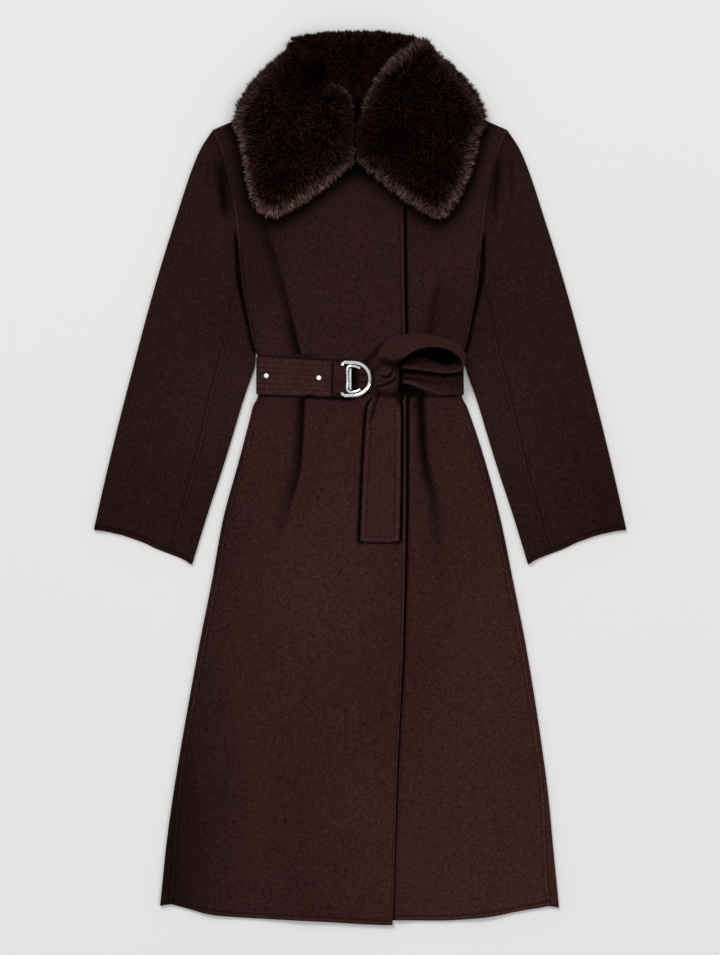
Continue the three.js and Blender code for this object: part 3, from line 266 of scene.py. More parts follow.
def from_line(x, y, points):
    """Distance, in X, from a line that runs down through points, and the share along it."""
    xs, ys = np.array(points, float)[::-1].T
    return x - curve(ys, xs, y), (ys[-1] - y) / (ys[-1] - ys[0])


def faded(share, start, end):
    """1 along a line, and 0 at its ends."""
    return smooth(0, start, share) * (1 - smooth(1 - end, 1, share))


def fold(x, y, points, left_high, left_wide, valley, right_high, right_wide, fade=(0.12, 0.3)):
    """A trough down the fronts between a soft slope on its left and a steep one on its right."""
    across, share = from_line(x, y, points)
    from_left = left_high * bump((across + 1.15 * left_wide) / (0.62 * left_wide))
    from_right = right_high * smooth(-0.5 * valley, valley, across)
    from_right *= bump(np.maximum(across - valley, 0) / right_wide)
    return faded(share, *fade) * (from_left + from_right)


def hollow(x, y, points, strength, left_wide, right_wide, fade=(0.12, 0.35)):
    """How much less light a narrow fold or crevice keeps: 1 outside it."""
    across, share = from_line(x, y, points)
    wide = np.where(across < 0, left_wide, right_wide)
    return 1 - strength * faded(share, *fade) * np.exp(-np.abs(across / wide) ** 2.4)


# Lines of the largest folds, from their upper to their lower end.
CHEST_FOLD = [(-144, 384), (-120, 312), (-103, 250), (-91, 200), (-85, 176)]
SKIRT_FOLD = [(-80, 124), (-83, 55), (-86.5, 12), (-99, -34), (-109, -70), (-122, -125)]
UNDER_FOLD = [(88.5, 124), (92, 55), (96.5, 12), (106, -30), (113, -110), (117, -170)]
UNDER_CHEST = [(120, 300), (109, 265), (102, 225), (96, 190)]


def folds_of_over(x, y):
    chest = fold(x, y, CHEST_FOLD, 3.6, 14, 3.2, 8.0, 19, (0.4, 0.02))
    skirt = fold(x, y, SKIRT_FOLD, 3.8, 13, 3.4, 8.5, 20, (0.02, 0.45))
    return chest + skirt


def folds_of_under(x, y):
    edge = x - free_edge(y)
    skirt = fold(x, y, UNDER_FOLD, 2.4, 8, 4.5, 5.0, 18, (0.02, 0.5))
    chest = fold(x, y, UNDER_CHEST, 1.6, 9, 6, 2.6, 14)
    beside = 3.4 * smooth(4.0, 7.5, edge) * bump(np.maximum(edge - 7.5, 0) / 16)
    return (skirt + chest) * smooth(4, 14, edge) + beside


def fur_shadow(x, y):
    """Light that the cloth keeps close under the collar."""
    total = np.ones_like(x)
    for outline in (RIGHT_LEAF, LEFT_LEAF):
        rim = smooth_line(outline, 90, closed=True)
        gap = np.hypot(x[..., None] - rim[:, 0], y[..., None] - rim[:, 1] + 5).min(axis=-1)
        total *= (1 - 0.88 * bump(gap / 13)) * (1 - 0.2 * bump(gap / 34))
    total *= 1 - 0.93 * smooth(425, 445, y) * smooth(34, 18, np.abs(x + 2))
    return total * (1 - 0.95 * smooth(450, 480, y) * smooth(90, 60, np.abs(x)))


def near_line(x, y, points):
    """Distance from a line through points."""
    best = np.full(np.broadcast(x, y).shape, 1e9)
    for (x0, y0), (x1, y1) in zip(points[:-1], points[1:]):
        dx, dy = x1 - x0, y1 - y0
        t = np.clip(((x - x0) * dx + (y - y0) * dy) / (dx * dx + dy * dy), 0, 1)
        best = np.minimum(best, np.hypot(x - x0 - t * dx, y - y0 - t * dy))
    return best


def inside_of(x, y, points):
    """Which places lie inside a closed outline."""
    result = np.zeros(np.broadcast(x, y).shape, bool)
    for (x0, y0), (x1, y1) in zip(points, points[1:] + points[:1]):
        if y0 != y1:
            crosses = (y0 > y) != (y1 > y)
            result ^= crosses & (x < x0 + (y - y0) * (x1 - x0) / (y1 - y0))
    return result


# Painted shade round the tied belt, as dark lines: line, half width, strength.
BELT_PAINTED_SHADE = [
    ([(-8.2, 166), (-8.2, 124)], 3.8, 0.97), ([(-2, 168), (12, 164)], 3.0, 0.7),
    ([(-2, 122), (14, 124)], 3.0, 0.7),
    ([(-152, 120.4), (-80, 118.4), (-39, 117.0), (-8, 116.4)], 2.4, 0.95),
    ([(-84, 117), (-62, 115.6), (-39, 114.8), (-12, 114)], 2.6, 0.9),
    ([(-152, 176.9), (-39, 170.7), (-15, 170.7)], 1.7, 0.7),
    ([(70, 118), (110, 118.2), (151, 119)], 2.2, 0.9),
    ([(9, 169.5), (17, 177), (25, 186), (31, 193)], 4.2, 0.72),
    ([(56, 131), (75, 127), (92, 122.5)], 4.4, 0.97),
    ([(56, 138), (62, 134)], 4.5, 0.97), ([(59, 150), (58, 132)], 4.0, 0.97),
    ([(80, 104), (91.5, 122)], 4.0, 0.5),
    ([(58, 154.5), (86, 153), (120, 148.5), (146, 150.5)], 3.6, 0.95),
    ([(64, 145), (76, 143.4), (90, 141)], 2.3, 0.85),
    ([(149.5, 148), (149.5, 122)], 2.6, 0.6),
]
# Outlines where the cloth is painted nearly black as shade: under the bow, in the ring's gap, and seen
# through the loop of the half bow.
UNDER_BOW = [
    (49, 131), (56, 150), (61, 150), (63, 139), (75, 134), (92, 127), (93, 121.5), (71, 120),
    (66, 121.5), (63.5, 113), (60, 108), (57, 116), (53, 125),
]
RING_GAP = [(-12, 124.5), (-12, 166), (-5, 166), (-5, 124.5)]
EAR_HOLE = [
    (52, 166), (64, 172), (77, 182), (98, 188), (121, 187), (137, 179), (145, 170), (143, 162),
    (130, 160), (110, 160), (84, 158), (60, 156),
]
# Painted shade on the half bow and on the hanging end, as dark lines: line, half width, strength.
EAR_PAINTED_SHADE = [
    ([(26, 172), (31, 169), (38, 172), (44, 168)], 2.4, 0.85),
    ([(60, 163), (74, 169), (84, 171)], 2.6, 0.5), ([(140, 171), (143, 164)], 2.5, 0.6),
]
TAIL_PAINTED_SHADE = [([(27, 122), (22, 108), (15, 84)], 2.6, 0.7), ([(50, 124), (54, 114), (56, 106)], 2.6, 0.7)]
# Creases of the knot, dented into it and painted darker as shade: line, half width, depth.
KNOT_CREASES_AND_SHADE = [
    ([(46, 166), (47.6, 160), (46.4, 152.5), (42, 146.4), (36.5, 144.6), (32, 146)], 1.5, 4.4),
    ([(19, 131.5), (29, 132.6), (38, 134.8), (46, 139.3), (51.5, 144)], 1.5, 4.4),
    ([(19, 137.5), (26, 139.5), (33, 139.4)], 1.5, 1.3), ([(50, 160), (53, 154)], 2.4, 2.2),
    ([(24, 160), (30, 155), (37, 156)], 1.6, 1.2), ([(22, 124.5), (35, 124), (46, 129)], 1.3, 1.3),
]


def lined(x, y, lines):
    """Light that cloth keeps near dark lines."""
    total = np.ones(np.broadcast(x, y).shape)
    for points, width, strength in lines:
        total *= 1 - strength * bump(near_line(x, y, points) / width)
    return total


def belt_shade(x, y):
    """Light that cloth keeps in the narrow places round the tied belt."""
    total = lined(x, y, BELT_PAINTED_SHADE)
    for outline, kept in ((EAR_HOLE, 0.03), (UNDER_BOW, 0.12), (RING_GAP, 0.1)):
        total *= np.where(inside_of(x, y, outline), kept, 1)
    return total


def tail_shade(x, y):
    """Light that the fronts keep along the hanging end of the belt."""
    left, right = read(TAIL, 1, y) - x, x - read(TAIL, 2, y)
    beside = smooth(-97, -92, y) * smooth(120, 112, y)
    total = 1 - 0.92 * beside * smooth(6.6, 4.2, left) * (left > -6)
    total *= 1 - 0.93 * beside * smooth(5.6, 4.2, right) * (right > -6)
    below = (left < 1) & (right < 1)
    return total * (1 - 0.75 * below * bump((y + 94.5) / 1.8))


def crevice_shade(past_side, y):
    """Light in the narrow gap where a sleeve lies close against the body."""
    ends = smooth(172, 186, y) * (1 - smooth(345, 362, y))
    middle = 1.6 + 3.0 * bump((y - 295) / 45)
    wide = 2.4 + 0.8 * bump((y - 300) / 40)
    return 1 - 0.95 * ends * smooth(wide + 2.4, wide - 0.6, np.abs(past_side - middle))


def spot(x, y, at_x, at_y, wide, high):
    """1 at a place, and less round it."""
    return bump((x - at_x) / wide) * bump((y - at_y) / high)


# Places of the body painted paler or darker as light and shade: strength, x, y, width, height. Those of a
# row add up.
PAINTED_LIGHT_SPOTS = [
    [(0.30, -50, -150, 75, 130), (0.16, 40, -520, 120, 170)],
    [(0.30, -126, 200, 18, 40), (-0.22, -145, 330, 34, 70)],
    [(-0.14, 130, 235, 40, 60), (-0.10, -131, 55, 30, 60)],
    [(-0.14, -100, -610, 60, 90), (-0.10, -50, 350, 60, 40)],
    [(-0.15, -190, -438, 28, 110), (-0.11, 232, -438, 40, 90)],
    [(0.13, 246, -600, 45, 60)],
]


def body_shade(x, y, is_over):
    """Painted shade in the folds, crevices and pocket mouths, painted light and shade over the body where
    the light falls unevenly, and a little random tone.
    """
    from_left = x - side(y, "left")
    from_side = np.minimum(from_left, side(y, "right") - x)
    # Painted light and shade: paler from the waist down and at the lower right, darker along the left
    # side.
    painted_light = 0.84 + 0.2 * smooth(190, 60, y) + 0.05 * smooth(-300, -500, y) * smooth(0, 160, x)
    painted_light *= 1 - 0.10 * smooth(75, 12, from_left) * smooth(60, -120, y)
    broad = 60 + 80 * smooth(-200, -600, y)
    painted_light *= 1 - 0.62 * smooth(-150, -560, y) * smooth(broad, 5, from_left)
    painted_light *= 1 - 0.16 * smooth(80, 20, from_left) * smooth(150, 300, y)
    painted_light *= 1 + 0.14 * smooth(40, 200, x) * smooth(0, -300, y)
    for group in PAINTED_LIGHT_SPOTS:
        painted_light *= 1 + sum(strength * spot(x, y, *place) for strength, *place in group)
    painted_light *= (1 + 0.05 * waves(x, y, 31, 260)) * fur_shadow(x, y)
    painted_light *= crevice_shade(-from_side, y)
    mouth = smooth(-138, -128, y) * smooth(52, 42, y)
    painted_light *= 1 - 0.3 * mouth * smooth(13, 3, from_side)
    painted_light *= belt_shade(x, y) * tail_shade(x, y)
    if is_over:
        chest = 0.55 + 0.33 * smooth(260, 190, y)
        painted_light *= hollow(x, y, CHEST_FOLD, chest, 12, 1.8, (0.25, 0.02))
        return painted_light * hollow(x, y, SKIRT_FOLD, 0.92, 12 + 7 * smooth(60, -80, y), 1.8, (0.01, 0.75))
    edge = x - free_edge(y)
    gap_wide = 2.6 + 2.6 * smooth(-500, 100, y)
    painted_light *= 1 - 0.93 * smooth(gap_wide + 1.2, gap_wide - 0.6, edge)
    painted_light *= hollow(x, y, UNDER_CHEST, 0.5, 5, 7, (0.3, 0.3))
    painted_light *= 1 + 0.25 * spot(x, y, 76.5, 85, 2.4, 40)
    return painted_light * hollow(x, y, UNDER_FOLD, 0.93, 9.5, 6 + 5 * smooth(30, -60, y), (0.01, 0.8))


def skirt_swell(x, y):
    """Broad soft rise and fall of the skirt and of the chest."""
    down = smooth(-90, -420, y)
    left = bump((x - (-186 + 0.05 * y)) / 24) + 0.8 * bump((x + 96) / 36)
    right = bump((x - 178) / 30)
    swell = 3.0 * down * (left + right)
    chest = 1.6 * smooth(180, 260, y) * (1 - smooth(330, 420, y))
    chest *= bump((x + 14) / 24) + bump((x + 60) / 20)
    return swell + chest + 0.5 * (1 + waves(x, y, 3, 130)) * smooth(-600, -420, y)


def swollen(radius, past):
    """Height that is left of a fold's round part at a distance past it."""
    return 2 * (radius - FLAT_RADIUS) * np.exp(-np.maximum(past, 0) / 12)


def fullness(x, y, is_over):
    """Height of the folds and the swell, and of the cloth's fold at the sides."""
    from_side = np.minimum(x - side(y, "left"), side(y, "right") - x) - FOLD_RADIUS
    at_side = swollen(FOLD_RADIUS, from_side) * smooth(9, 180, side(y, "turn"))
    inside = smooth(6, 30, from_side + FOLD_RADIUS)
    if is_over:
        return at_side + (folds_of_over(x, y) + skirt_swell(x, y)) * inside
    shown = smooth(1, 14, x - free_edge(y))
    return at_side + (folds_of_under(x, y) + shown * skirt_swell(x, y)) * inside


def front_z(x, y, is_over):
    """Height of the middle of a front's cloth."""
    z = lift(x, y, 16) + LAYER + fullness(x, y, is_over)
    if is_over:
        rolled = 2.6 * bump((free_edge(y) - x) / 13) * (1 - 0.35 * smooth(-200, -600, y))
        z += LAYER * smooth(-112, -80, x) + rolled
    return z + CLOTH / 2


def front_top(x, y):
    """Height of the upper face of the fronts."""
    over = front_z(x, y, True)
    under = front_z(x, y, False)
    return np.where(x <= free_edge(y), np.maximum(over, under), under) + CLOTH / 2


def body_place(y, x, panel):
    """Y of a panel's point, with the line of the hem and of the neck."""
    share = (x - side(y, "left")) / (side(y, "right") - side(y, "left"))
    hang = read(HEM, PANEL[panel], share) * (1 - smooth(HEM_Y, HEM_FADE_Y, y))
    rise = np.interp(share, NECK[:, 0], NECK[:, PANEL[panel]]) * smooth(RISE_Y, TOP_Y, y)
    return y + hang + rise


# ------------------------------------------------------------------ meshes
def row(x, y, z):
    """Points side by side; x, y or z may be one number for all of them."""
    return np.stack(np.broadcast_arrays(x, y, z), -1)


def unit(vectors):
    """The same directions with length 1."""
    return vectors / np.maximum(np.linalg.norm(vectors, axis=-1, keepdims=True), 1e-9)


def add_mesh(name, points, faces, material, shade=None, strand=None, smoothed=True):
    """Object from points in millimetres. Its material reads the shade or the strand values."""
    mesh = bpy.data.meshes.new(name)
    faces = faces.tolist() if isinstance(faces, np.ndarray) else faces
    mesh.from_pydata((np.asarray(points, float) * MM).tolist(), [], faces)
    mesh.polygons.foreach_set("use_smooth", np.full(len(mesh.polygons), smoothed))
    if shade is not None:
        layer = mesh.attributes.new("shade", "FLOAT", "POINT")
        layer.data.foreach_set("value", np.asarray(shade, np.float32).ravel())
    if strand is not None:
        layer = mesh.color_attributes.new("strand", "FLOAT_COLOR", "POINT")
        layer.data.foreach_set("color", np.asarray(strand, np.float32).ravel())
    mesh.materials.append(material)
    mesh.update()
    obj = bpy.data.objects.new(name, mesh)
    bpy.context.scene.collection.objects.link(obj)
    return obj


def in_place_of(obj, node):
    """The object as the looks of a solid on the coat's one body."""
    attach(obj, "root")
    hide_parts(node)
    return obj


def closed_rings(count, rings):
    """Triangles from a first point over rings of points to a last point."""
    j = np.arange(count)
    k = (j + 1) % count
    tris = [row(0, 1 + j, 1 + k)]
    for ring in range(rings - 1):
        a = 1 + ring * count
        b = a + count
        tris += [row(a + j, b + j, b + k), row(a + j, b + k, a + k)]
    a = 1 + (rings - 1) * count
    tris.append(row(a + j, a + count, a + k))
    return np.vstack(tris)


def grid_normals(points):
    return unit(np.cross(np.gradient(points, axis=1), np.gradient(points, axis=0)))


def edge_distance(points):
    """Distances of a grid's points from its first and last row and its first and last column."""
    row_step = np.linalg.norm(np.diff(points, axis=0), axis=2)
    col_step = np.linalg.norm(np.diff(points, axis=1), axis=2)
    down = np.pad(np.cumsum(row_step, axis=0), ((1, 0), (0, 0)))
    right = np.pad(np.cumsum(col_step, axis=1), ((0, 0), (1, 0)))
    return down, down[-1:] - down, right, right[:, -1:] - right


def cloth(name, node, middle, thickness, shade=None):
    """Closed woollen sheet round a grid of points, with round edges, in place of a solid."""
    half = thickness / 2
    distance = np.minimum.reduce(edge_distance(middle))
    rounding = np.sqrt(np.clip(1 - (1 - np.clip(distance / half, 0, 1)) ** 2, 0, 1))
    offset = grid_normals(middle) * (half * rounding)[:, :, None]
    rows, cols = middle.shape[:2]
    top = np.arange(rows * cols).reshape(rows, cols)
    bottom = top.copy()
    bottom[1:-1, 1:-1] = rows * cols + np.arange((rows - 2) * (cols - 2)).reshape(rows - 2, cols - 2)
    under = (middle - offset)[1:-1, 1:-1]
    points = np.vstack([(middle + offset).reshape(-1, 3), under.reshape(-1, 3)])

    def quads(index):
        return np.stack([index[:-1, :-1], index[:-1, 1:], index[1:, 1:], index[1:, :-1]], -1)

    faces = np.vstack([quads(top).reshape(-1, 4), quads(bottom).reshape(-1, 4)[:, ::-1]])
    if shade is None:
        shade = np.ones((rows, cols))
    both = np.concatenate([shade.ravel(), shade[1:-1, 1:-1].ravel()])
    return in_place_of(add_mesh(name, points, faces, WOOL, both), node)


# ------------------------------------------------------------------ materials
class Shader:
    """A material and the nodes that feed its surface."""

    def __init__(self, name, roughness, specular):
        self.material = bpy.data.materials.new(name)
        self.material.use_nodes = True
        self.nodes = self.material.node_tree.nodes
        self.link = self.material.node_tree.links.new
        self.inputs = self.nodes["Principled BSDF"].inputs
        self.inputs["Roughness"].default_value = roughness
        self.inputs["Specular IOR Level"].default_value = specular

    def new(self, kind, links=(), **values):
        """A node with settings, and links or numbers at its inputs."""
        node = self.nodes.new("ShaderNode" + kind)
        for name, value in values.items():
            setattr(node, name, value)
        for name, value in links:
            if isinstance(value, bpy.types.NodeSocket):
                self.link(value, node.inputs[name])
            else:
                node.inputs[name].default_value = value
        return node

    def noise(self, scale, detail=2.0, stretch=(1, 1, 1), distortion=0.0):
        """Noise in the object's own space, in metres."""
        place = self.new("TexCoord").outputs["Object"]
        mapping = self.new("Mapping", [("Vector", place), ("Scale", stretch)])
        return self.new("TexNoise", [
            ("Vector", mapping.outputs["Vector"]), ("Scale", scale), ("Detail", detail),
            ("Distortion", distortion),
        ]).outputs["Fac"]

    def math(self, operation, a, b):
        return self.new("Math", [(0, a), (1, b)], operation=operation).outputs[0]

    def total(self, start, *terms):
        """A number and more outputs, each with its factor, added up."""
        for output, factor in terms:
            start = self.math("ADD", self.math("MULTIPLY", output, factor), start)
        return start

    def ramp(self, value, *stops):
        """Colour by value, from stops of a value and a colour."""
        node = self.new("ValToRGB", [("Fac", value)])
        elements = node.color_ramp.elements
        while len(elements) < len(stops):
            elements.new(0.5)
        for element, (place, *colour) in zip(elements, stops):
            element.position = place
            element.color = (*colour, 1)
        return node.outputs["Color"]

    def scaled(self, colour, factor):
        return self.new("VectorMath", [(0, colour), ("Scale", factor)], operation="SCALE").outputs[0]

    def coloured(self, colour):
        """The finished material."""
        self.link(colour, self.inputs["Base Color"])
        return self.material


def wool_material():
    """Double-face wool: crossing fibres, a mottled dye, and the painted light and shade that the shade
    values carry.
    """
    wool = Shader("wool", 0.9, 0.04)
    fibres = [wool.noise(1.0, 3.0, (430, 1500, 600)), wool.noise(1.0, 3.0, (1500, 430, 600))]
    grain = wool.total(0, (fibres[0], 0.4), (fibres[1], 0.3), (wool.noise(2300), 0.3))
    tone = wool.total(-0.975, (wool.noise(7), 0.3), (wool.noise(620), 2.35), (wool.noise(190, 3.0), 1.3))
    shade = wool.new("Attribute", attribute_name="shade").outputs["Fac"]
    relief = wool.new("Bump", [("Strength", 0.5), ("Distance", 0.0005), ("Height", grain)])
    wool.link(relief.outputs["Normal"], wool.inputs["Normal"])
    wool.inputs["Sheen Weight"].default_value = 0.03
    wool.inputs["Sheen Roughness"].default_value = 0.45
    wool.inputs["Sheen Tint"].default_value = (0.75, 0.5, 0.47, 1)
    colour = wool.ramp(grain, (0.3, 0.0175, 0.0060, 0.0055), (0.5, 0.0290, 0.0108, 0.0100),
                       (0.7, 0.0440, 0.0187, 0.0174))
    return wool.coloured(wool.scaled(colour, wool.math("MULTIPLY", tone, shade)))


def fur_material():
    """Fur by the strand values: place along it, paleness, own. It runs from dark roots, painted darker as
    shade, to lighter tips, and the paleness holds painted sheen along the rims and some random paleness.
    """
    fur = Shader("fur", 0.9, 0.0)
    data = fur.new("Attribute", attribute_name="strand").outputs["Color"]
    split = fur.new("SeparateColor", [("Color", data)]).outputs
    dark = fur.ramp(split["Red"], (0.0, 0.0012, 0.0004, 0.0004), (0.5, 0.0048, 0.0017, 0.0015),
                    (1.0, 0.0270, 0.0098, 0.0085))
    light = fur.ramp(split["Red"], (0.0, 0.0030, 0.0010, 0.0009), (0.45, 0.0360, 0.0140, 0.0125),
                     (1.0, 0.2400, 0.1400, 0.1260))
    mix = fur.new("Mix", data_type="RGBA")
    fur.link(split["Green"], mix.inputs["Factor"])
    fur.link(dark, mix.inputs["A"])
    fur.link(light, mix.inputs["B"])
    return fur.coloured(fur.scaled(mix.outputs["Result"], fur.total(0.1, (split["Blue"], 3.2))))


def steel_material():
    """Polished steel with fine wear."""
    steel = Shader("steel", 0.5, 0.5)
    smear = steel.noise(160)
    wear = steel.noise(900, 3.0, distortion=0.4)
    steel.link(steel.total(0, (wear, 0.12), (smear, 0.12)), steel.inputs["Roughness"])
    steel.inputs["Metallic"].default_value = 0.68
    return steel.coloured(steel.ramp(smear, (0.3, 0.84, 0.85, 0.86), (0.7, 0.96, 0.96, 0.96)))


def thread_material():
    thread = Shader("thread", 0.7, 0.2)
    return thread.coloured(thread.ramp(thread.noise(3000), (0.3, 0.028, 0.011, 0.010),
                                       (0.7, 0.060, 0.027, 0.025)))


def floor_material():
    floor = Shader("floor", 1.0, 0.0)
    return floor.coloured(floor.ramp(floor.noise(1.5, 1.0), (0.3, 0.795, 0.795, 0.795),
                                     (0.7, 0.805, 0.805, 0.805)))


WOOL = wool_material()
FUR = fur_material()
STEEL = steel_material()
THREAD = thread_material()


# ------------------------------------------------------------------ fronts and back
def groove(distance, at, width, depth):
    """A sewn line at a distance from an edge."""
    return -depth * bump((distance - at) / width)


def front(name, node, panel, columns, row_step):
    """One of the fronts, with its sewn hem, side seam and, on the over front, free edge."""
    is_over = panel == "over"
    row_ys = merged(spaced(HEM_Y, TOP_Y, row_step, True, False), np.arange(-110, 212, 2.2))
    grid = []
    for row_y in row_ys:
        xs = columns(row_y)
        ys = body_place(row_y, xs, panel)
        grid.append(row(xs, ys, front_z(xs, ys, is_over)))
    grid = np.array(grid)
    down, _, from_left, from_right = edge_distance(grid)
    hem = groove(down, 6.4, 0.9, 0.7) + 0.35 * bump((down - 3) / 2.2)
    seam = from_left if is_over else from_right
    seam_ridge = bump((seam - 2) / 1.3) * smooth(90, 60, grid[:, :, 1])
    detail = hem + 0.6 * seam_ridge
    if is_over:
        wide = 2.4 + 2.6 * smooth(-420, 150, grid[:, :, 1])
        welt = 0.5 * (1 - smooth(wide - 1.2, wide, from_right))
        detail += welt + groove(from_right, wide + 0.4, 0.8, 0.9)
    # Painted shade in the sewn grooves of the hem, the side seam and the free edge; painted highlights on
    # the hem's rim, the seam's ridge and the free edge's welt.
    shade = body_shade(grid[:, :, 0], grid[:, :, 1], is_over) * (1 + 0.65 * groove(down, 6.4, 1.1, 1))
    shade *= (1 + 0.18 * bump((down - 3) / 2)) * (1 + 0.34 * seam_ridge)
    shade *= 1 - 0.3 * bump((seam - 5.4) / 1.2) * smooth(90, 60, grid[:, :, 1])
    if is_over:
        shade *= 1 + 0.65 * groove(from_right, wide + 0.4, 0.8, 1)
        shade *= 1 + 0.22 * smooth(wide, wide - 1, from_right)
    grid[:, :, 2] += detail
    return cloth(name, node, grid, CLOTH, shade)


def seam_inset(y):
    """How far the side seam lies inside the side."""
    folded = smooth(20, 40, side(y, "turn"))
    return GAP / 2 + folded * (side(y, "lap") + GAP / 2)


def over_columns(row_y):
    start = side(row_y, "left") + seam_inset(row_y)
    end = free_edge(row_y)
    return start + (end - start) * OVER_SHARES


def under_columns(row_y):
    end = side(row_y, "right") - seam_inset(row_y)
    edge = free_edge(row_y)
    hidden = np.linspace(-62, edge - 1, 8)
    return np.concatenate([hidden, edge + (end - edge) * UNDER_SHARES])


OVER_SHARES = merged(spaced(0, 300, 4.6, True, True), np.arange(58, 134, 1.9))
OVER_SHARES = merged(OVER_SHARES, np.arange(205, 288, 2.2)) / 300
UNDER_SHARES = merged(spaced(0, 160, 4.2, False, True), np.arange(0, 64, 1.5)) / 160

over = front("coat_front_right_over", "front_right_over", "over", over_columns, 4.8)
under = front("coat_front_left_under", "front_left_under", "under", under_columns, 5.2)


def back_panel():
    """The back, turned over at both sides into the side laps."""
    row_ys = spaced(HEM_Y, TOP_Y, 8, True, False)
    shares = np.linspace(0.03, 0.97, 36)
    rows = []
    for row_y in row_ys:
        left, right = side(row_y, "left"), side(row_y, "right")
        turn = math.radians(float(side(row_y, "turn")))
        lap = float(side(row_y, "lap"))
        radius = FOLD_RADIUS - CLOTH / 2
        if turn >= math.pi / 2:
            start = FOLD_RADIUS
        else:
            start = GAP / 2 + FOLD_RADIUS * math.sin(turn) + math.cos(turn)
        angles = np.linspace(0, turn, 9)
        reach = start - radius * np.sin(angles)
        height = FOLD_RADIUS - radius * np.cos(angles)
        ends = np.array([0.35, 0.8, 1.0])
        folded = smooth(90, 180, math.degrees(turn))
        sink = swollen(FOLD_RADIUS, 0) - swollen(FOLD_RADIUS, lap - FOLD_RADIUS)
        end_reach = folded * lap + (1 - folded) * (reach[-1] - math.cos(turn))
        end_height = height[-1] - folded * sink + (1 - folded) * math.sin(turn)
        reach = np.concatenate([reach, reach[-1] + (end_reach - reach[-1]) * ends])
        height = np.concatenate([height, height[-1] + (end_height - height[-1]) * ends])
        base_left = float(lift(left + FOLD_RADIUS, row_y))
        base_right = float(lift(right - FOLD_RADIUS, row_y))
        mid_x = left + (right - left) * shares
        mid_z = lift(mid_x, body_place(row_y, mid_x, "back")) + CLOTH / 2
        xs = np.concatenate([(left + reach)[::-1], mid_x, right - reach])
        zs = np.concatenate([(base_left + height)[::-1], mid_z, base_right + height])
        rows.append(row(xs, body_place(row_y, xs, "back"), zs))
    grid = np.array(rows)[:, ::-1]
    x, y = grid[:, :, 0], grid[:, :, 1]
    shade = np.where(x < 0, body_shade(x, y, True), body_shade(x, y, False))
    return cloth("coat_back", "back", grid, CLOTH, shade)


back = back_panel()


# ------------------------------------------------------------------ sleeves
def sleeve_value(at, column):
    return read(SLEEVE, column, at)


def armhole(share):
    """The line where a sleeve meets the body, from the shoulder to below the arm."""
    share = np.clip(share, 0, 1)
    y = TOP_Y + (300 - TOP_Y) * np.minimum(share, 0.8) / 0.8
    x = side(y, "left") - GAP / 2
    t = np.clip((share - 0.8) / 0.06, 0, 1)
    x, y = x + (-165 - x) * t, y + (285 - y) * t
    t = np.clip((share - 0.86) / 0.14, 0, 1)
    return x + (-126 - x) * t, y + (262 - y) * t


def sleeve_place(at, share, is_underside):
    """Place of a point on a sleeve from cuff to armhole (at) and from fold to fold (share)."""
    ax, ay, bx, by = (sleeve_value(at, k) for k in (1, 2, 3, 4))
    cap_x, cap_y = armhole(share)
    end = SLEEVE[-1]
    bulge_x = cap_x - (end[1] + (end[3] - end[1]) * share)
    bulge_y = cap_y - (end[2] + (end[4] - end[2]) * share)
    peek = 0 if is_underside else 2.5 * np.sin(math.pi * np.clip(share, 0, 1))
    dip = sleeve_value(at, 6) * (curve(*CUFF_DIP, share) + peek)
    cap = sleeve_value(at, 7)
    return ax + (bx - ax) * share + cap * bulge_x, ay + (by - ay) * share + cap * bulge_y + dip


def crease(x, y, points, depth, width):
    across, share = from_line(x, y, points)
    return depth * faded(share, 0.2, 0.2) * bump(across / width)


# Creases of the sleeve heads, in the left sleeve's places: points, rise or dip, width.
HEAD = {
    "right": [
        ([(-206, 466), (-201, 430), (-196, 384), (-194, 366)], -3.8, 7.2),
        ([(-213, 470), (-208, 430), (-203, 380)], 2.4, 3.4),
        ([(-219, 472), (-221, 440), (-222, 412)], -1.6, 3.0),
        ([(-198, 372), (-190, 340), (-186, 318)], 2.0, 6.0),
    ],
    "left": [
        ([(-201, 470), (-198, 430), (-194, 370)], -2.9, 4.6),
        ([(-208, 474), (-205, 430), (-200, 378)], 2.2, 3.6),
        ([(-218, 480), (-220, 440), (-221, 396)], -1.9, 3.2),
        ([(-197, 366), (-190, 340), (-185, 316)], 1.8, 6.0),
    ],
}


def sleeve_swell(x, y, hand):
    """Rise of a sleeve's upper face over its plain crown."""
    from_body = side(y, "left") - x
    beside = smooth(196, 232, y) * (1 - smooth(322, 352, y))
    total = 5.2 * beside * smooth(1.0, 8.0, from_body) * bump(np.maximum(from_body - 8, 0) / 17)
    for points, high, width in HEAD[hand]:
        total += crease(x, y, points, high, width)
    seed = 21 if hand == "right" else 22
    return total + 0.7 * waves(x, y, seed, 95) * smooth(-60, 20, y)


def sleeve_shade(x, y, hand):
    """Painted shade on a sleeve: darker all over and more towards the cuff, and darker by the body, near
    the shoulder and in the creases of its head.
    """
    from_body = side(y, "left") - x
    total = 0.66 - 0.14 * smooth(130, -60, y)
    total *= crevice_shade(from_body, y)
    total *= 1 - 0.5 * spot(from_body, y, 0, 440, 16, 60)
    for points, high, width in HEAD[hand]:
        if high < 0:
            across, share = from_line(x, y, points)
            total *= 1 + 0.235 * high * faded(share, 0.25, 0.3) * bump(across / width)
    return total


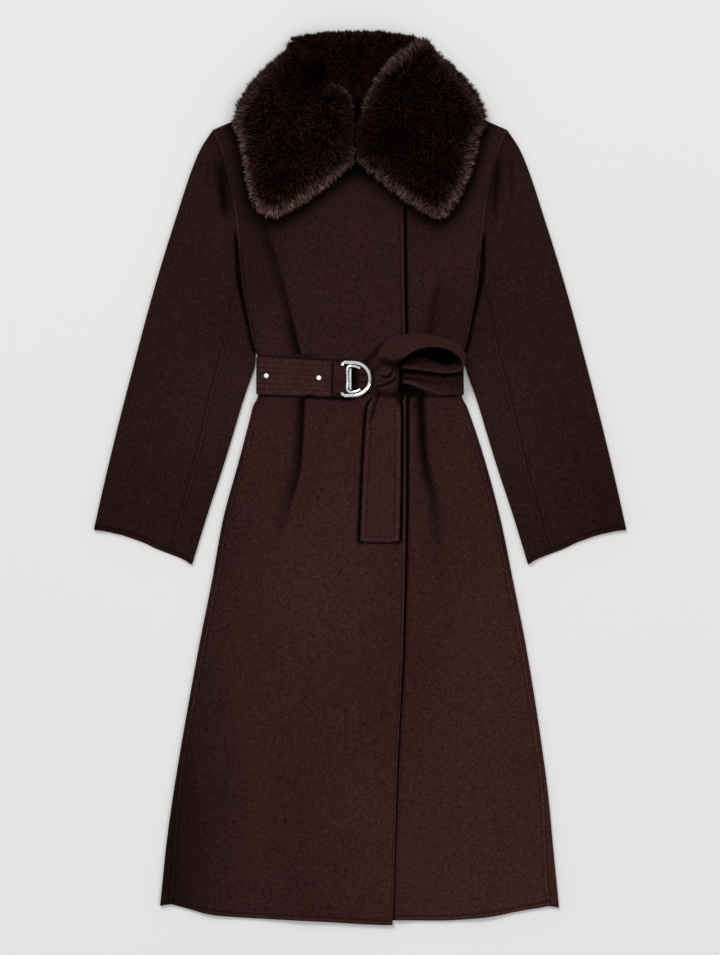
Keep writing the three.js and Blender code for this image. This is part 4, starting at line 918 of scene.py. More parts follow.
class SleeveRow:
    """One row of points round a flat sleeve, by distance from its outer towards its inner fold."""

    def __init__(self, at, hand):
        self.at, self.hand = at, hand
        ax, ay, bx, by, self.seam, _, _, self.inner, self.crown = (
            float(sleeve_value(at, k)) for k in range(1, 10))
        self.width = math.hypot(bx - ax, by - ay)

    def top(self, distance):
        """Middle of the upper wall."""
        x, y = sleeve_place(self.at, distance / self.width, False)
        from_inner = self.width - distance
        crown = self.crown * np.sin(math.pi * np.clip(distance / self.width / 0.76, 0, 1))
        low = 2 * FLAT_RADIUS - CLOTH / 2
        z = low + crown + swollen(FOLD_RADIUS, distance - FOLD_RADIUS)
        z += swollen(self.inner, from_inner - self.inner)
        z += sleeve_swell(x, y, self.hand) * smooth(0, 14, distance) * smooth(0, 5, from_inner)
        return row(x, y, np.maximum(z, low))

    def under(self, distance):
        """Middle of the wall on the underside."""
        return row(*sleeve_place(self.at, distance / self.width, True), CLOTH / 2)

    def arc(self, radius, is_outer):
        """Round a fold, from the upper wall to the underside."""
        angle = np.linspace(0, math.pi, 9)
        reach = radius - (radius - CLOTH / 2) * np.sin(angle)
        share = (reach if is_outer else self.width - reach) / self.width
        weight = 0.5 * (1 - np.cos(angle))
        x0, y0 = sleeve_place(self.at, share, False)
        x1, y1 = sleeve_place(self.at, share, True)
        z = radius + (radius - CLOTH / 2) * np.cos(angle)
        return row(x0 + (x1 - x0) * weight, y0 + (y1 - y0) * weight, z)

    def halves(self):
        """Rows of the upper and of the under half, which meet at the front and the rear seam."""
        fine = np.array([0, 0.3, 0.75, 1.3, 2.1, 3.2, 4.6])
        half_gap = GAP / 2
        before, after = self.seam * self.width - half_gap, self.seam * self.width + half_gap
        inner_at, rear = self.width - self.inner, 0.25 * self.width
        upper_top = np.linspace(FOLD_RADIUS, before - fine[-1], 30)[1:-1]
        under_top = np.linspace(after + fine[-1], inner_at, 12)[1:-1]
        return (
            np.concatenate([
                self.under(np.linspace(rear - half_gap, FOLD_RADIUS, 6)[:-1]),
                self.arc(FOLD_RADIUS, True)[::-1],
                self.top(np.concatenate([upper_top, (before - fine)[::-1]]))]),
            np.concatenate([
                self.top(np.concatenate([after + fine, under_top])), self.arc(self.inner, False),
                self.under(np.linspace(inner_at, rear + half_gap, 16)[1:])]),
        )


def with_welt(grid):
    """A sleeve's grid and the welt that its end rises into along the armhole."""
    last = grid[-1]
    on_top = smooth(3, 3.5, last[:, 2]) * smooth(280, 300, last[:, 1])
    reach_and_rise = ((1.2, 2.1), (2.4, 2.5), (3.4, 2.4))
    welt = [last + row(reach * (0.02 + 0.98 * on_top), 0, rise * on_top)
            for reach, rise in reach_and_rise]
    return np.concatenate([grid, welt])


def sleeve_grids(hand):
    """Grids of both halves from cuff to armhole, in the place of the wearer's right sleeve."""
    ats = np.unique(np.concatenate([spaced(0, 9, 0.075, False, False), FINE[1:-1] / CUFF_STEP]))
    halves = zip(*(SleeveRow(at, hand).halves() for at in ats))
    return {half: with_welt(np.array(rows)) for half, rows in zip(("upper", "under"), halves)}


def sleeve(hand):
    """Both halves of a sleeve; the wearer's left one is the mirror of the other side's place."""
    for half, grid in sleeve_grids(hand).items():
        down, _, from_start, from_end = edge_distance(grid)
        at_top = grid[:, :, 2] > FOLD_RADIUS
        cuff = groove(down, 5.6, 0.8, 0.6)
        at_seam = from_end if half == "upper" else from_start
        high = 0.9 if half == "upper" else 0.2
        seam = high * bump((at_seam - 1.4) / 1.6)
        if half == "upper":
            seam += groove(at_seam, 4.6, 1.3, 0.5)
        armhole_dip = -1.2 * bump((down[-1:] - down - 7) / 1.8)
        shade = sleeve_shade(grid[:, :, 0], grid[:, :, 1], hand)
        # Painted light on the inner part of the upper half, on the seam's ridge, along the armhole's welt
        # and on the underside's rim at the cuff; painted shade in the sewn grooves of the cuff and the
        # seam and in the dip by the armhole.
        inner = smooth(95, 10, from_end) if half == "upper" else np.ones_like(shade)
        shade *= 1 + 0.22 * inner * smooth(240, 130, grid[:, :, 1])
        shade *= 1 + 0.75 * groove(down, 5.2, 1.2, 1) * at_top
        if half == "upper":
            shade *= 1 + 0.45 * groove(at_seam, 4.4, 1.3, 1) * at_top
            shade *= 1 + 0.35 * bump((at_seam - 1.4) / 1.4) * at_top
        from_armhole = down[-1:] - down
        shade *= 1 + 0.3 * armhole_dip * at_top
        shade *= 1 + 0.9 * at_top * smooth(7.5, 5, from_armhole) * (grid[:, :, 1] > 330)
        shade *= 1 + 0.9 * (grid[:, :, 2] < 2) * smooth(6, 4, down)
        grid[:, :, 2] += (cuff + seam + armhole_dip) * at_top
        if hand == "left":
            grid = grid[:, ::-1] * np.array([-1, 1, 1])
            shade = shade[:, ::-1]
        node = "sleeve_%s_%s" % (hand, half)
        piece = cloth("coat_" + node, node, grid, CLOTH, shade)


sleeve("right")
sleeve("left")


# ------------------------------------------------------------------ fur
def inset(outline, amount):
    """Outline moved inwards along its own normals, then evened out."""
    along = np.roll(outline, -2, axis=0) - np.roll(outline, 2, axis=0)
    normal = np.stack([-along[:, 1], along[:, 0]], -1)
    normal /= np.linalg.norm(normal, axis=1, keepdims=True)
    area = np.sum(outline[:, 0] * np.roll(outline[:, 1], -1) - np.roll(outline[:, 0], -1) * outline[:, 1])
    moved = outline + normal * amount * (1 if area > 0 else -1)
    for _ in range(4):
        moved = 0.5 * moved + 0.25 * (np.roll(moved, 1, axis=0) + np.roll(moved, -1, axis=0))
    return moved, normal * (-1 if area > 0 else 1)


def leaf_base(x, y):
    """Height of what a leaf lies on: the fronts, and nothing past the shoulders."""
    shoulder = 565 - 0.44 * (np.abs(x) - 75)
    return 7.6 * (1 - smooth(12, 42, y - shoulder))


def leaf_loft(x, y):
    beside = bump((np.abs(x) - 40) / 46)
    return 27 + 15 * beside * smooth(440, 560, y)


# Width of a tuft, height of a core's rim, and shares of the way from a core's middle to it.
TUFT = 2.8
RIM_HEIGHT = 4
RINGS = [0.12, 0.25, 0.38, 0.5, 0.62, 0.72, 0.81, 0.88, 0.94, 0.98, 1.0]


def between(a, b, angle):
    """Directions turned from a towards b."""
    return a * np.cos(angle)[:, None] + b * np.sin(angle)[:, None]


class Fur:
    """Padded core inside a solid's outline, and the fur that grows out of it to that outline."""

    def __init__(self, name, outline, middle, base, loft, inset_by, lower):
        """Base and loft are the heights of what it lies on and of the fur; the core is lower."""
        self.name = name
        self.middle = np.array(middle, float)
        outline = smooth_line(outline, 240, closed=True)
        self.outline, self.outward = inset(outline, inset_by)
        self.backing = inset(outline, 1.5)[0]
        self.base, self.loft, self.lower = base, loft, lower

    def point(self, index, ring):
        """Place on the upper face, by place on the outline (0 to its length) and ring."""
        count = len(self.outline)
        i = np.floor(index).astype(int) % count
        t = (index - np.floor(index))[..., None]
        rim = self.outline[i] * (1 - t) + self.outline[(i + 1) % count] * t
        x, y = (self.middle + (rim - self.middle) * ring[..., None]).T
        dome = np.sqrt(np.clip(1 - ring ** 3, 0, 1))
        lump = 2.4 * waves(x, y, 5, 46) * (1 - ring ** 4)
        for x0, y0, size, strength in FUR_HOLLOWS_AND_SHADE:
            lump -= 5 * strength * spot(x, y, x0, y0, size, size) * dome
        high = self.loft(x, y) - self.lower - RIM_HEIGHT
        return row(x, y, self.base(x, y) + RIM_HEIGHT + high * dome + lump)

    def core(self, node):
        """The padded body under the strands."""
        count = len(self.outline)
        index = np.arange(count, dtype=float)
        points = [self.point(index[:1], np.zeros(1))]
        points += [self.point(index, np.full(count, ring)) for ring in RINGS]
        x, y = self.backing.T
        points += [row(x, y, self.base(x, y) + height) for height in (1.4, 0.4)]
        below = [self.point(index, np.full(count, ring)) for ring in (0.97, 0.85, 0.6, 0.3)]
        for face in below + [points[0].copy()]:
            face[:, 2] = self.base(face[:, 0], face[:, 1]) + 0.4
            points.append(face)
        faces = closed_rings(count, len(points) - 2)
        points = np.vstack(points)
        a, b, c = (points[faces[:, k]] - points.mean(0) for k in range(3))
        if np.sum(a * np.cross(b, c)) < 0:
            faces = faces[:, ::-1]
        # The core takes the colour of the strands' roots, painted dark as the shade between them.
        strand = np.tile([0.1, 0.0, 0.5, 1.0], (len(points), 1))
        self.object = in_place_of(add_mesh(self.name, points, faces, FUR, strand=strand), node)

    def roots(self, count):
        """Random places on the face, some of them crowded towards the rim."""
        here = self.outline - self.middle
        there = np.roll(self.outline, -1, axis=0) - self.middle
        area = np.abs(here[:, 0] * there[:, 1] - here[:, 1] * there[:, 0])
        chosen = rng.choice(len(self.outline), count, p=area / area.sum())
        index = chosen + rng.random(count)
        ring = np.sqrt(rng.random(count))
        crowd = rng.random(count) < 0.3
        ring = np.where(crowd, 1 - 0.14 * rng.random(count) ** 1.5, ring)
        return chosen, index, ring, (1 - ring) * np.linalg.norm(here[chosen], axis=1)

    def slope(self, index, ring):
        """Direction away from the middle, and how steeply the face rises along it."""
        step = 0.01
        inner = self.point(index, np.maximum(ring - step, 0))
        slope = self.point(index, np.minimum(ring + step, 1)) - inner
        flat = np.maximum(np.linalg.norm(slope[:, :2], axis=1), 1e-6)
        return slope[:, :2] / flat[:, None], np.clip(slope[:, 2] / flat, -3.2, 1)

    def tones(self, root, chosen, from_rim, near, chance, marks, bright):
        """Paleness and own brightness of every strand: painted sheen along the rims with some random
        paleness, and painted shade near rims without sheen and in the hollows.
        """
        count = len(root)
        marks = np.array(marks, float)
        gap = np.sum((self.outline[chosen][:, None] - marks[None, :, :2]) ** 2, axis=2)
        weight = 1 / (gap + 60) ** 2
        rim_light, rim_band = (weight @ marks[:, 2:] / np.sum(weight, axis=1, keepdims=True)).T
        band = 1 - smooth(0.25 * rim_band, rim_band, from_rim)
        pale_and_sheen = rim_light * band * (0.55 + 0.75 * chance[3]) + 0.07 * chance[4] ** 2
        pale_and_sheen = np.clip(pale_and_sheen * np.where(rng.random(count) < 0.5, rng.uniform(0.9, 1.6, count),
                                       rng.uniform(0, 0.45, count)), 0, 1)
        own = bright * np.clip(rng.beta(0.65, 1.25, count) * (0.65 + 0.6 * chance[1]), 0, 1)
        own *= 1 - 0.5 * near * (1 - np.clip(1.6 * rim_light, 0, 1))
        for x, y, size, strength in FUR_HOLLOWS_AND_SHADE:
            kept = 1 - strength * spot(root[:, 0], root[:, 1], x, y, size, size)
            own, pale_and_sheen = own * kept, pale_and_sheen * kept
        return pale_and_sheen, own

    def strands(self, count, length, marks, comb_from, bright=1.0):
        """Tapered strands in tufts, combed away from the neck and out over the rim."""
        chosen, index, ring, from_rim = self.roots(count)
        root = self.point(index, ring)
        radial, rise = self.slope(index, ring)
        near = 1 - smooth(5, 34, from_rim)
        comb = unit(root[:, :2] - np.array(comb_from, float))
        cell = np.floor(root[:, :2] / TUFT)
        chance = [np.modf(np.abs(np.sin(cell[:, 0] * (12.9 + k) + cell[:, 1] * (78.2 + 3 * k))
                                 * 43758.5))[0] for k in range(5)]
        flow = comb * (1 - near)[:, None] + self.outward[chosen] * near[:, None]
        swirl = (1.1 * (1 - near) + 0.25) * waves(root[:, 0], root[:, 1], 8, 34)
        swirl += 1.3 * (chance[0] - 0.5) * (1.15 - near) + rng.normal(0, 0.16, count)
        flow = unit(between(flow, np.stack([-flow[:, 1], flow[:, 0]], -1), swirl))
        normal = unit(row(-rise * radial[:, 0], -rise * radial[:, 1], 1))
        tangent = unit(row(flow[:, 0], flow[:, 1], rise * np.sum(flow * radial, axis=1)))
        lie = np.radians(np.clip(rng.normal(0, 6, count) + 30 + 12 * chance[1] + 28 * near, 10, 80))
        reach = length * (0.72 + 0.28 * near) * (0.72 + 0.4 * chance[2]) * rng.uniform(0.85, 1.1, count)
        away = between(normal, tangent, lie)
        middle = root + between(normal, tangent, lie * 0.5) * (0.45 * reach)[:, None]
        tip = middle + away * (0.62 * reach)[:, None]
        centre = (cell + 0.5 + 0.5 * (np.stack(chance[3:5], -1) - 0.5)) * TUFT
        pull = (centre - root[:, :2]) * (rng.uniform(0.3, 0.8, count) * (1 - 0.6 * near))[:, None]
        middle[:, :2] += 0.35 * pull
        tip[:, :2] += pull
        tip[:, 2] = np.maximum(tip[:, 2], 0.6)
        across = unit(np.cross(away, UP))
        across = between(across, np.cross(away, across), rng.uniform(-0.8, 0.8, count))
        wide = across * rng.uniform(0.9, 1.7, count)[:, None]
        root -= normal
        points = np.stack([root - wide * 0.5, root + wide * 0.5, middle + wide * 0.42,
                           middle - wide * 0.42, tip], 1)
        start = (np.arange(count) * 5)[:, None]
        faces = np.concatenate([start + [0, 1, 2], start + [0, 2, 3], start + [3, 2, 4]], 1)
        values = np.ones((count, 5, 4))
        values[:, :, 0] = [0, 0, 0.5, 0.5, 1]
        tones = self.tones(root, chosen, from_rim, near, chance, marks, bright)
        values[:, :, 1:3] = np.stack(tones, -1)[:, None]
        strands = add_mesh(self.name + "_strands", points.reshape(-1, 3), faces.reshape(-1, 3), FUR,
                           strand=values, smoothed=False)
        strands.parent = self.object


# Hollows in the fur, dented into the core and painted darker as shade: x, y, size, strength.
FUR_HOLLOWS_AND_SHADE = [
    (-63, 582, 24, 0.9), (-115, 436, 14, 0.65), (53, 492, 24, 0.7), (-95, 470, 16, 0.3),
    (110, 455, 20, 0.3), (-30, 540, 14, 0.4), (70, 560, 20, 0.2), (-48, 598, 10, 0.5),
]
# Painted sheen on the tips along a rim, as paleness: x, y, strength, width of the band.
RIGHT_RIM = [
    (-125, 377, 1.0, 17), (-94, 391, 1.0, 16), (-58, 415, 0.85, 14), (-24, 442, 0.7, 13),
    (-10, 462, 0.4, 10), (-9, 490, 0.07, 8), (-9, 515, 0.12, 6), (-12, 545, 0.7, 6),
    (-24, 566, 0.75, 7), (-37, 569, 0.45, 6), (-48, 580, 0.02, 6), (-51, 601, 0.02, 6),
    (-82, 629, 0.06, 8), (-100, 634, 0.25, 14), (-146, 588, 0.28, 20), (-172, 553, 0.32, 20),
    (-184, 518, 0.5, 16), (-177, 495, 0.85, 12), (-169, 458, 0.85, 10), (-159, 407, 0.9, 12),
    (-146, 386, 1.0, 15),
]
LEFT_RIM = [
    (113, 377, 1.0, 17), (95, 383, 1.0, 16), (56, 409, 0.9, 15), (18, 439, 0.8, 13),
    (1, 453, 0.55, 10), (-5, 480, 0.07, 8), (-5, 508, 0.15, 8), (5, 544, 0.6, 8),
    (20, 578, 0.7, 12), (45, 611, 0.85, 20), (60, 624, 0.9, 24), (80, 636, 0.7, 18),
    (102, 633, 0.25, 14), (146, 588, 0.28, 20), (172, 553, 0.34, 20), (183, 520, 0.45, 18),
    (172, 490, 0.5, 18), (165, 458, 0.55, 17), (155, 430, 0.65, 17), (131, 387, 0.9, 17),
]
BACK_RIM = [
    (-97, 636, 0.15, 10), (-80, 641, 0.3, 8), (16, 648, 0.28, 8), (76, 641, 0.3, 8),
    (59, 624, 0.02, 6), (19, 578, 0.05, 6), (-5, 556, 0.12, 8), (-47, 580, 0.1, 6),
    (-50, 601, 0.05, 6), (-81, 630, 0.05, 6),
]


right_leaf = Fur("fur_leaf_right", RIGHT_LEAF, (-95, 500), leaf_base, leaf_loft, 10, 9)
right_leaf.core("collar_leaf_right")
right_leaf.strands(26000, 14, RIGHT_RIM, (10, 640))
left_leaf = Fur("fur_leaf_left", LEFT_LEAF, (90, 500), leaf_base, leaf_loft, 10, 9)
left_leaf.core("collar_leaf_left")
left_leaf.strands(26000, 14, LEFT_RIM, (-10, 640), bright=0.78)


def back_base(x, y):
    return np.zeros_like(x)


def back_loft(x, y):
    return 28 + 8 * smooth(600, 640, y)


back_fur = Fur("fur_collar_back", COLLAR_BACK, (-5, 610), back_base, back_loft, 7, 8)
back_fur.core("collar_back")
back_fur.strands(13000, 11, BACK_RIM, (-5, 560), bright=0.8)


# ------------------------------------------------------------------ belt
def belt_low(x):
    return read(BELT_EDGES, 1, x)


def belt_high(x):
    return read(BELT_EDGES, 2, x)


def edge_shares(count):
    """Shares across a belt, close together at both edges."""
    fine = np.array([0, 0.006, 0.015, 0.028, 0.05])
    return np.concatenate([fine, np.linspace(0.05, 0.95, count)[1:-1], 1 - fine[::-1]])


def belt_turn(steps, sign):
    """How far in and how high the belt lies in its turn round a side; sign -1 is below."""
    radius = BELT_TURN - BELT_CLOTH / 2
    angle = np.linspace(0, math.pi / 2, steps)
    height = BELT_TURN + sign * (radius * np.sin(angle) + GAP / 2 * np.cos(angle))
    return BELT_TURN - radius * np.cos(angle), height


def side_stretch(edge_x, direction, xs, shares, low, high, rise):
    """Middle of a belt that comes up round a side and goes on over the fronts."""
    reach, turn_z = belt_turn(TURN_ROWS, 1)
    rows = [row(x, low(x) + (high(x) - low(x)) * shares, z)
            for x, z in zip(edge_x + direction * reach, turn_z)]
    turn_top = 2 * BELT_TURN - BELT_CLOTH
    for x in xs:
        y = low(x) + (high(x) - low(x)) * shares
        away = smooth(0, 26, abs(x - edge_x) - BELT_TURN)
        rest = front_top(np.full_like(y, x), y) + BELT_REST
        rest = np.mean(rest) * 0.75 + rest * 0.25
        rows.append(row(x, y, np.maximum(turn_top * (1 - away), rest) + BELT_CLOTH / 2))
    grid = np.array(rows)
    on_top = grid[TURN_ROWS:]
    on_top[:, :, 2] += rise(on_top[:, :, 0], shares[None, :])
    for _ in range(3):
        neighbours = on_top[:-2, :, 2] + on_top[2:, :, 2]
        on_top[1:-1, :, 2] = 0.5 * on_top[1:-1, :, 2] + 0.25 * neighbours
    return grid


def ribs(x, shares):
    """Rise of the stretch's rounded ribs between its stitched lines."""
    wave = np.abs(np.sin(math.pi * RIBS * shares)) ** 0.55
    return 1.3 * wave - 0.7 + 0 * x


rib_shares = np.unique(np.round(np.concatenate([np.linspace(0, 1, 85), edge_shares(4)]), 5))
quilt = side_stretch(BELT_LEFT, 1, np.arange(-142.4, -38.9, 2.1), rib_shares, belt_low, belt_high, ribs)
quilt_wave = np.abs(np.sin(math.pi * RIBS * rib_shares))
quilt_shade = np.tile(1.25 * (1 - 0.6 * bump(quilt_wave / 0.3)), (len(quilt), 1))
quilt_shade *= 1 - 0.6 * bump((quilt[:, :, 0] + 41.5) / 1.1)
quilted = cloth("belt_quilted", "belt_right_quilted", quilt[:, ::-1], BELT_CLOTH,
                quilt_shade[:, ::-1])


# The stretch on the right of the picture narrows and gathers towards the knot.
def gathered_low(x):
    t = 1 - smooth(58, 125, x)
    return belt_low(x) * (1 - t) + 138 * t


def gathered_high(x):
    t = 1 - smooth(58, 112, x)
    return belt_high(x) * (1 - t) + 153 * t


def gathers(x, shares):
    t = 1 - smooth(62, 128, x)
    return 3.0 * t * np.sin(math.pi * 3.4 * shares + 0.9) * np.sin(math.pi * shares) ** 0.5


plain = side_stretch(BELT_RIGHT, -1, np.arange(142.2, 58.9, -2.2), edge_shares(40), gathered_low,
                     gathered_high, gathers)
plain_x, plain_y = plain[:, :, 0], plain[:, :, 1]
# The lower lip of the gathered stretch is painted lighter as a highlight; elsewhere the stretch takes the
# painted shade round the belt.
plain_lip = smooth(4.6, 2.2, plain_y - gathered_low(plain_x)) * smooth(150, 90, plain_x)
plain_shade = (0.92 + 0.75 * plain_lip) * np.maximum(belt_shade(plain_x, plain_y), 0.9 * plain_lip)
left_stretch = cloth("belt_left_stretch", "belt_left", plain, BELT_CLOTH, plain_shade)


def belt_back():
    """The belt behind the waist, from the turn at one side to the turn at the other."""
    reach, turn_z = belt_turn(TURN_ROWS, -1)
    xs = np.concatenate([BELT_LEFT + reach, np.linspace(-138, 138, 50), (BELT_RIGHT - reach)[::-1]])
    zs = np.concatenate([turn_z, np.full(50, BELT_CLOTH / 2), turn_z[::-1]])
    shares = edge_shares(14)
    rows = [row(x, belt_low(x) + (belt_high(x) - belt_low(x)) * shares, z) for x, z in zip(xs, zs)]
    return cloth("belt_behind", "belt_back", np.array(rows), BELT_CLOTH)


behind = belt_back()


def belt_tail():
    """The hanging end, with its sewn margins."""
    ys = spaced(-93, 142, 3.2, True, False)
    shares = spaced(0, 56, 1.8, True, True) / 56
    rows = []
    for y in ys:
        left, right = read(TAIL, 1, y), read(TAIL, 2, y)
        x = left + (right - left) * shares
        bow = 2.2 * (1 - smooth(-93, -80, y)) * (2 * shares - 1) ** 4
        z = front_top(x, np.full_like(x, y)) + BELT_REST + BELT_CLOTH / 2
        rows.append(row(x, y + bow, z))
    grid = np.array(rows)
    down, _, left, right = edge_distance(grid)
    side_gap = np.minimum(left, right)
    x, y = grid[:, :, 0], grid[:, :, 1]
    shown = 1 - smooth(95, 110, y)
    margin = groove(side_gap, 7.0, 0.9, 0.8) + groove(down, 6.7, 0.9, 0.8)
    fold_line = crease(x, y, [(26, 122), (22, 108), (16, 92), (13, 76)], 2.0, 3.0)
    grid[:, :, 2] += margin * shown + fold_line
    edge = np.minimum(side_gap, down)
    # Painted highlight on the sewn margins, painted shade in their grooves, along two creases below the
    # knot and where the end goes under the knot.
    shade = 1.17 + 0.22 * shown * smooth(7.5, 5.5, edge) * smooth(0, 2, edge)
    shade *= 1 - 0.5 * shown * bump((edge - 7.4) / 0.9)
    shade *= lined(x, y, TAIL_PAINTED_SHADE) * (1 - 0.6 * smooth(112, 121, y))
    return cloth("belt_tail_end", "belt_tail", grid, BELT_CLOTH, shade), grid


tail, tail_grid = belt_tail()


def belt_ear():
    """The half bow: one band, there and back."""
    both = smooth_line(EAR, 130)
    low, high = both[:, :3], both[:, 3:]
    shares = edge_shares(18)
    grid = low[:, None] + (high - low)[:, None] * shares[None, :, None]
    grid += grid_normals(grid) * BELT_CLOTH / 2
    out = grid[:, :, :2] - np.array([92, 178.0])
    out = out / np.linalg.norm(out, axis=2, keepdims=True)
    along = np.linspace(0, 1, len(grid))[:, None]
    bulge = 4.5 * np.sin(math.pi * shares)[None, :] * smooth(0.04, 0.3, along) * smooth(1, 0.8, along)
    grid[:, :, :2] += bulge[:, :, None] * out
    shade = 1.12 * lined(grid[:, :, 0], grid[:, :, 1], EAR_PAINTED_SHADE)
    return cloth("belt_bow_ear", "belt_ear", grid, BELT_CLOTH, shade)


ear = belt_ear()


def belt_knot():
    """Rounded wrap of the belt, creased where its turns cross."""
    count, rings = 160, np.concatenate([np.linspace(0.02, 0.9, 46), [0.93, 0.96, 0.98, 0.99, 1.0]])
    angle = np.linspace(0, 2 * math.pi, count, endpoint=False)
    square = 1 + 0.1 * np.sin(2 * angle) ** 2
    middle_x, middle_y, top, bottom = 39, 143, 33.3, 14.35
    points, shades = [[[middle_x, middle_y, top]]], [[1.1]]
    for ring in rings:
        x = middle_x + 18.0 * square * np.cos(angle) * ring
        y = middle_y + 21.5 * square * np.sin(angle) * ring
        z = bottom + 3 + 16 * math.sqrt(max(1 - ring ** 4, 0))
        # Painted shade darkens the knot towards its rim, in its creases and on its underside; two spots
        # are painted lighter as highlights.
        shade = 1.16 * (1 - 0.55 * ring ** 5) * (1 + 0.22 * spot(x, y, 51, 148, 4, 7))
        shade *= 1 + 0.2 * spot(x, y, 32, 128, 14, 3)
        for line, width, depth in KNOT_CREASES_AND_SHADE:
            near = near_line(x, y, line)
            beside = 0.5 * depth * bump((near - 2.6 * width) / (1.5 * width))
            z += (beside - depth * bump(near / width)) * (1 - ring ** 6)
            shade *= 1 - min(0.2 * depth, 0.75) * bump(near / (1.15 * width))
        points.append(row(x, y, z))
        shades.append(shade)
    points = np.vstack(points + [row(x, y, bottom), [[middle_x, middle_y, bottom]]])
    shades = np.concatenate(shades + [np.full(count + 1, 0.5)])
    obj = add_mesh("belt_knot_wrap", points, closed_rings(count, len(rings) + 1), WOOL, shades)
    in_place_of(obj, "belt_knot")


belt_knot()


def belt_tab():
    """The tab round the straight side of the D-ring."""
    inside = 5.2 / 2 + GAP
    ring_z, straight, start = 15.8, -26.2, -38.7
    radius = inside + 1.0
    angle = np.linspace(math.pi / 2, -math.pi / 2, 14)
    top = smooth_line([(start, ring_z - 0.6), (-31.2, ring_z + 2.6), (straight, ring_z + radius)], 10)
    turn = np.stack([straight + radius * np.cos(angle), ring_z + radius * np.sin(angle)], -1)
    under = np.stack([np.linspace(straight, start, 8), np.full(8, ring_z - radius)], -1)
    path = np.vstack([top[:-1], turn, under[1:]])
    shares = edge_shares(16)
    rows = []
    for x, z in path:
        t = smooth(start, straight - 4, x)
        low = (belt_low(x) + 1) * (1 - t) + (119.5 + inside + 1.4) * t
        high = (belt_high(x) - 1) * (1 - t) + (167 - inside - 1.4) * t
        rows.append(row(x, low + (high - low) * shares, z))
    return cloth("belt_ring_tab", "belt_tab", np.array(rows)[:, ::-1], 2.0)


tab = belt_tab()


def ring_turn():
    """The gathered stretch inside the ring."""
    thickness = 1.5
    xs = spaced(-4.6, 18.5, 1.4, False, True)
    shares = edge_shares(40)
    rows = []
    for x in xs:
        low = np.interp(x, [-3, 5, 18.5], [129, 126, 121])
        high = np.interp(x, [-3, 5, 18.5], [159, 161.5, 166])
        y = low + (high - low) * shares
        z = front_top(np.full_like(y, x), y) + BELT_REST + thickness / 2
        rows.append(row(x, y, z + 0.6 * np.abs(np.sin(3 * math.pi * shares)) ** 0.7))
    grid = np.array(rows)
    folds = bump(np.sin(3 * math.pi * shares)[None, :] / 0.35) + 0 * grid[:, :, 0]
    # Painted shade in the gathered folds, deepening towards the ring.
    shade = (1 - 0.75 * folds) * smooth(-9, 3, grid[:, :, 0]) * 0.9
    return cloth("belt_in_ring", "belt_ring_turn", grid[:, ::-1], thickness, shade[:, ::-1])


in_ring = ring_turn()


# ------------------------------------------------------------------ sewing
SIDES_OF_THREAD = 6


def stitches(name, paths, parent, pitch=3.3, radius=0.3):
    """Short threads, one after another along lines on a cloth."""
    around = np.linspace(0, 2 * math.pi, SIDES_OF_THREAD, endpoint=False)
    points, faces = [], []
    for path in paths:
        path = np.asarray(path, float)
        for start in np.arange(0.4, travelled(path)[-1] - pitch, pitch):
            line = walked(path, start + pitch * np.array([0.04, 0.18, 0.5, 0.72, 0.86]))
            line[:, 2] += radius * np.array([-0.9, 0.2, 0.55, 0.2, -0.9])
            across = unit(np.cross(line[-1] - line[0], UP))
            up = np.cross(across, unit(line[-1] - line[0]))
            first = len(points) * SIDES_OF_THREAD
            for place, size in zip(line, (0.35, 1, 1, 1, 0.35)):
                points.append(place + radius * size * between(across, up, around))
            for a in range(first, first + 4 * SIDES_OF_THREAD):
                b = a + 1 if (a + 1 - first) % SIDES_OF_THREAD else a + 1 - SIDES_OF_THREAD
                faces.append((a, b, b + SIDES_OF_THREAD, a + SIDES_OF_THREAD))
            last = first + 4 * SIDES_OF_THREAD
            faces.append(tuple(range(first, first + SIDES_OF_THREAD))[::-1])
            faces.append(tuple(range(last, last + SIDES_OF_THREAD)))
    obj = add_mesh(name, np.vstack(points), faces, THREAD)
    obj.parent = parent


def raised(points):
    """Points in the middle of the belt's cloth brought up to its face."""
    return points + UP * (BELT_CLOTH / 2 + 0.1)


quilt_lines = [int(np.argmin(np.abs(rib_shares - k / RIBS))) for k in range(1, RIBS)]
stitches("quilt_stitches", [raised(quilt[TURN_ROWS:-1, k]) for k in quilt_lines], quilted)
stitches("tail_stitches", [raised(line) for line in (
    tail_grid[4:70, 6], tail_grid[4:70, -7], tail_grid[9, 7:-7])], tail)

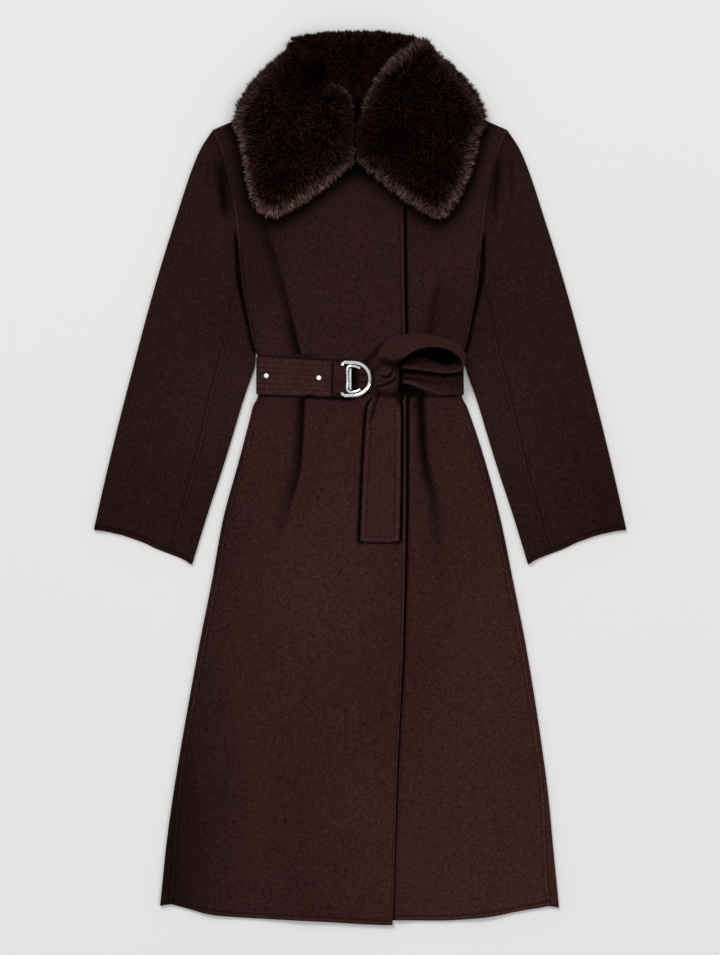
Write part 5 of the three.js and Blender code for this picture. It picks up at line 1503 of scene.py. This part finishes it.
# Bar tacks that hold the ends of the pocket mouths in the side seams.
for name, x, y, parent in (("tack_upper", -161.0, 45.0, over), ("tack_lower", 207.0, -132.0, under)):
    z = float(front_top(x, y))
    rows = [[(x - 3, y + row_y, z), (x + 4.4, y + row_y, z)] for row_y in (-0.7, 0, 0.7)]
    stitches(name, rows, parent, 6.4, 0.45)

# ------------------------------------------------------------------ metal
for node in ("collar_hook", "d_ring", "buckle_bar_frame", "buckle_bar_inner", "rivet_outer",
             "rivet_inner"):
    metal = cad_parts[node]
    metal.data.materials.clear()
    metal.data.materials.append(STEEL)
    metal.data.polygons.foreach_set("use_smooth", np.ones(len(metal.data.polygons), bool))

# ------------------------------------------------------------------ stage, light and camera
corners = row([-6000, 6000, 6000, -6000], [-6000, -6000, 6000, 6000], -0.5)
floor = add_mesh("floor", corners, [(0, 1, 2, 3)], floor_material(), smoothed=False)


def area_light(name, place, size, power):
    """Light in a rectangle that faces the middle of the coat."""
    data = bpy.data.lights.new(name, "AREA")
    data.shape = "RECTANGLE"
    data.size, data.size_y = size
    data.energy = power
    obj = bpy.data.objects.new(name, data)
    obj.location = place
    x, y, z = place
    obj.rotation_euler = (math.acos(z / math.hypot(x, y, z)), 0, math.atan2(-y, -x) - math.pi / 2)
    bpy.context.scene.collection.objects.link(obj)


area_light("key", (-3.0, 5.6, 8.0), (4.6, 3.0), 440)
area_light("fill", (5.0, -1.5, 7.5), (3.6, 3.6), 130)
area_light("top", (0.3, 0.6, 9.0), (5.6, 5.6), 80)

world = bpy.data.worlds.new("studio")
world.use_nodes = True
sky = world.node_tree.nodes["Background"].inputs
sky["Color"].default_value = (1, 1, 1, 1)
sky["Strength"].default_value = 0.46
bpy.context.scene.world = world
bpy.context.scene.view_settings.view_transform = "Standard"

LENS, SENSOR, FIELD = 200, 36, 1.38475
camera_data = bpy.data.cameras.new("camera")
camera_data.lens = LENS
camera_data.sensor_width = SENSOR
camera_data.clip_end = 100
camera = bpy.data.objects.new("camera", camera_data)
camera.location = (-0.0001, 0.0007, FIELD * LENS / SENSOR)
bpy.context.scene.collection.objects.link(camera)
bpy.context.scene.camera = camera
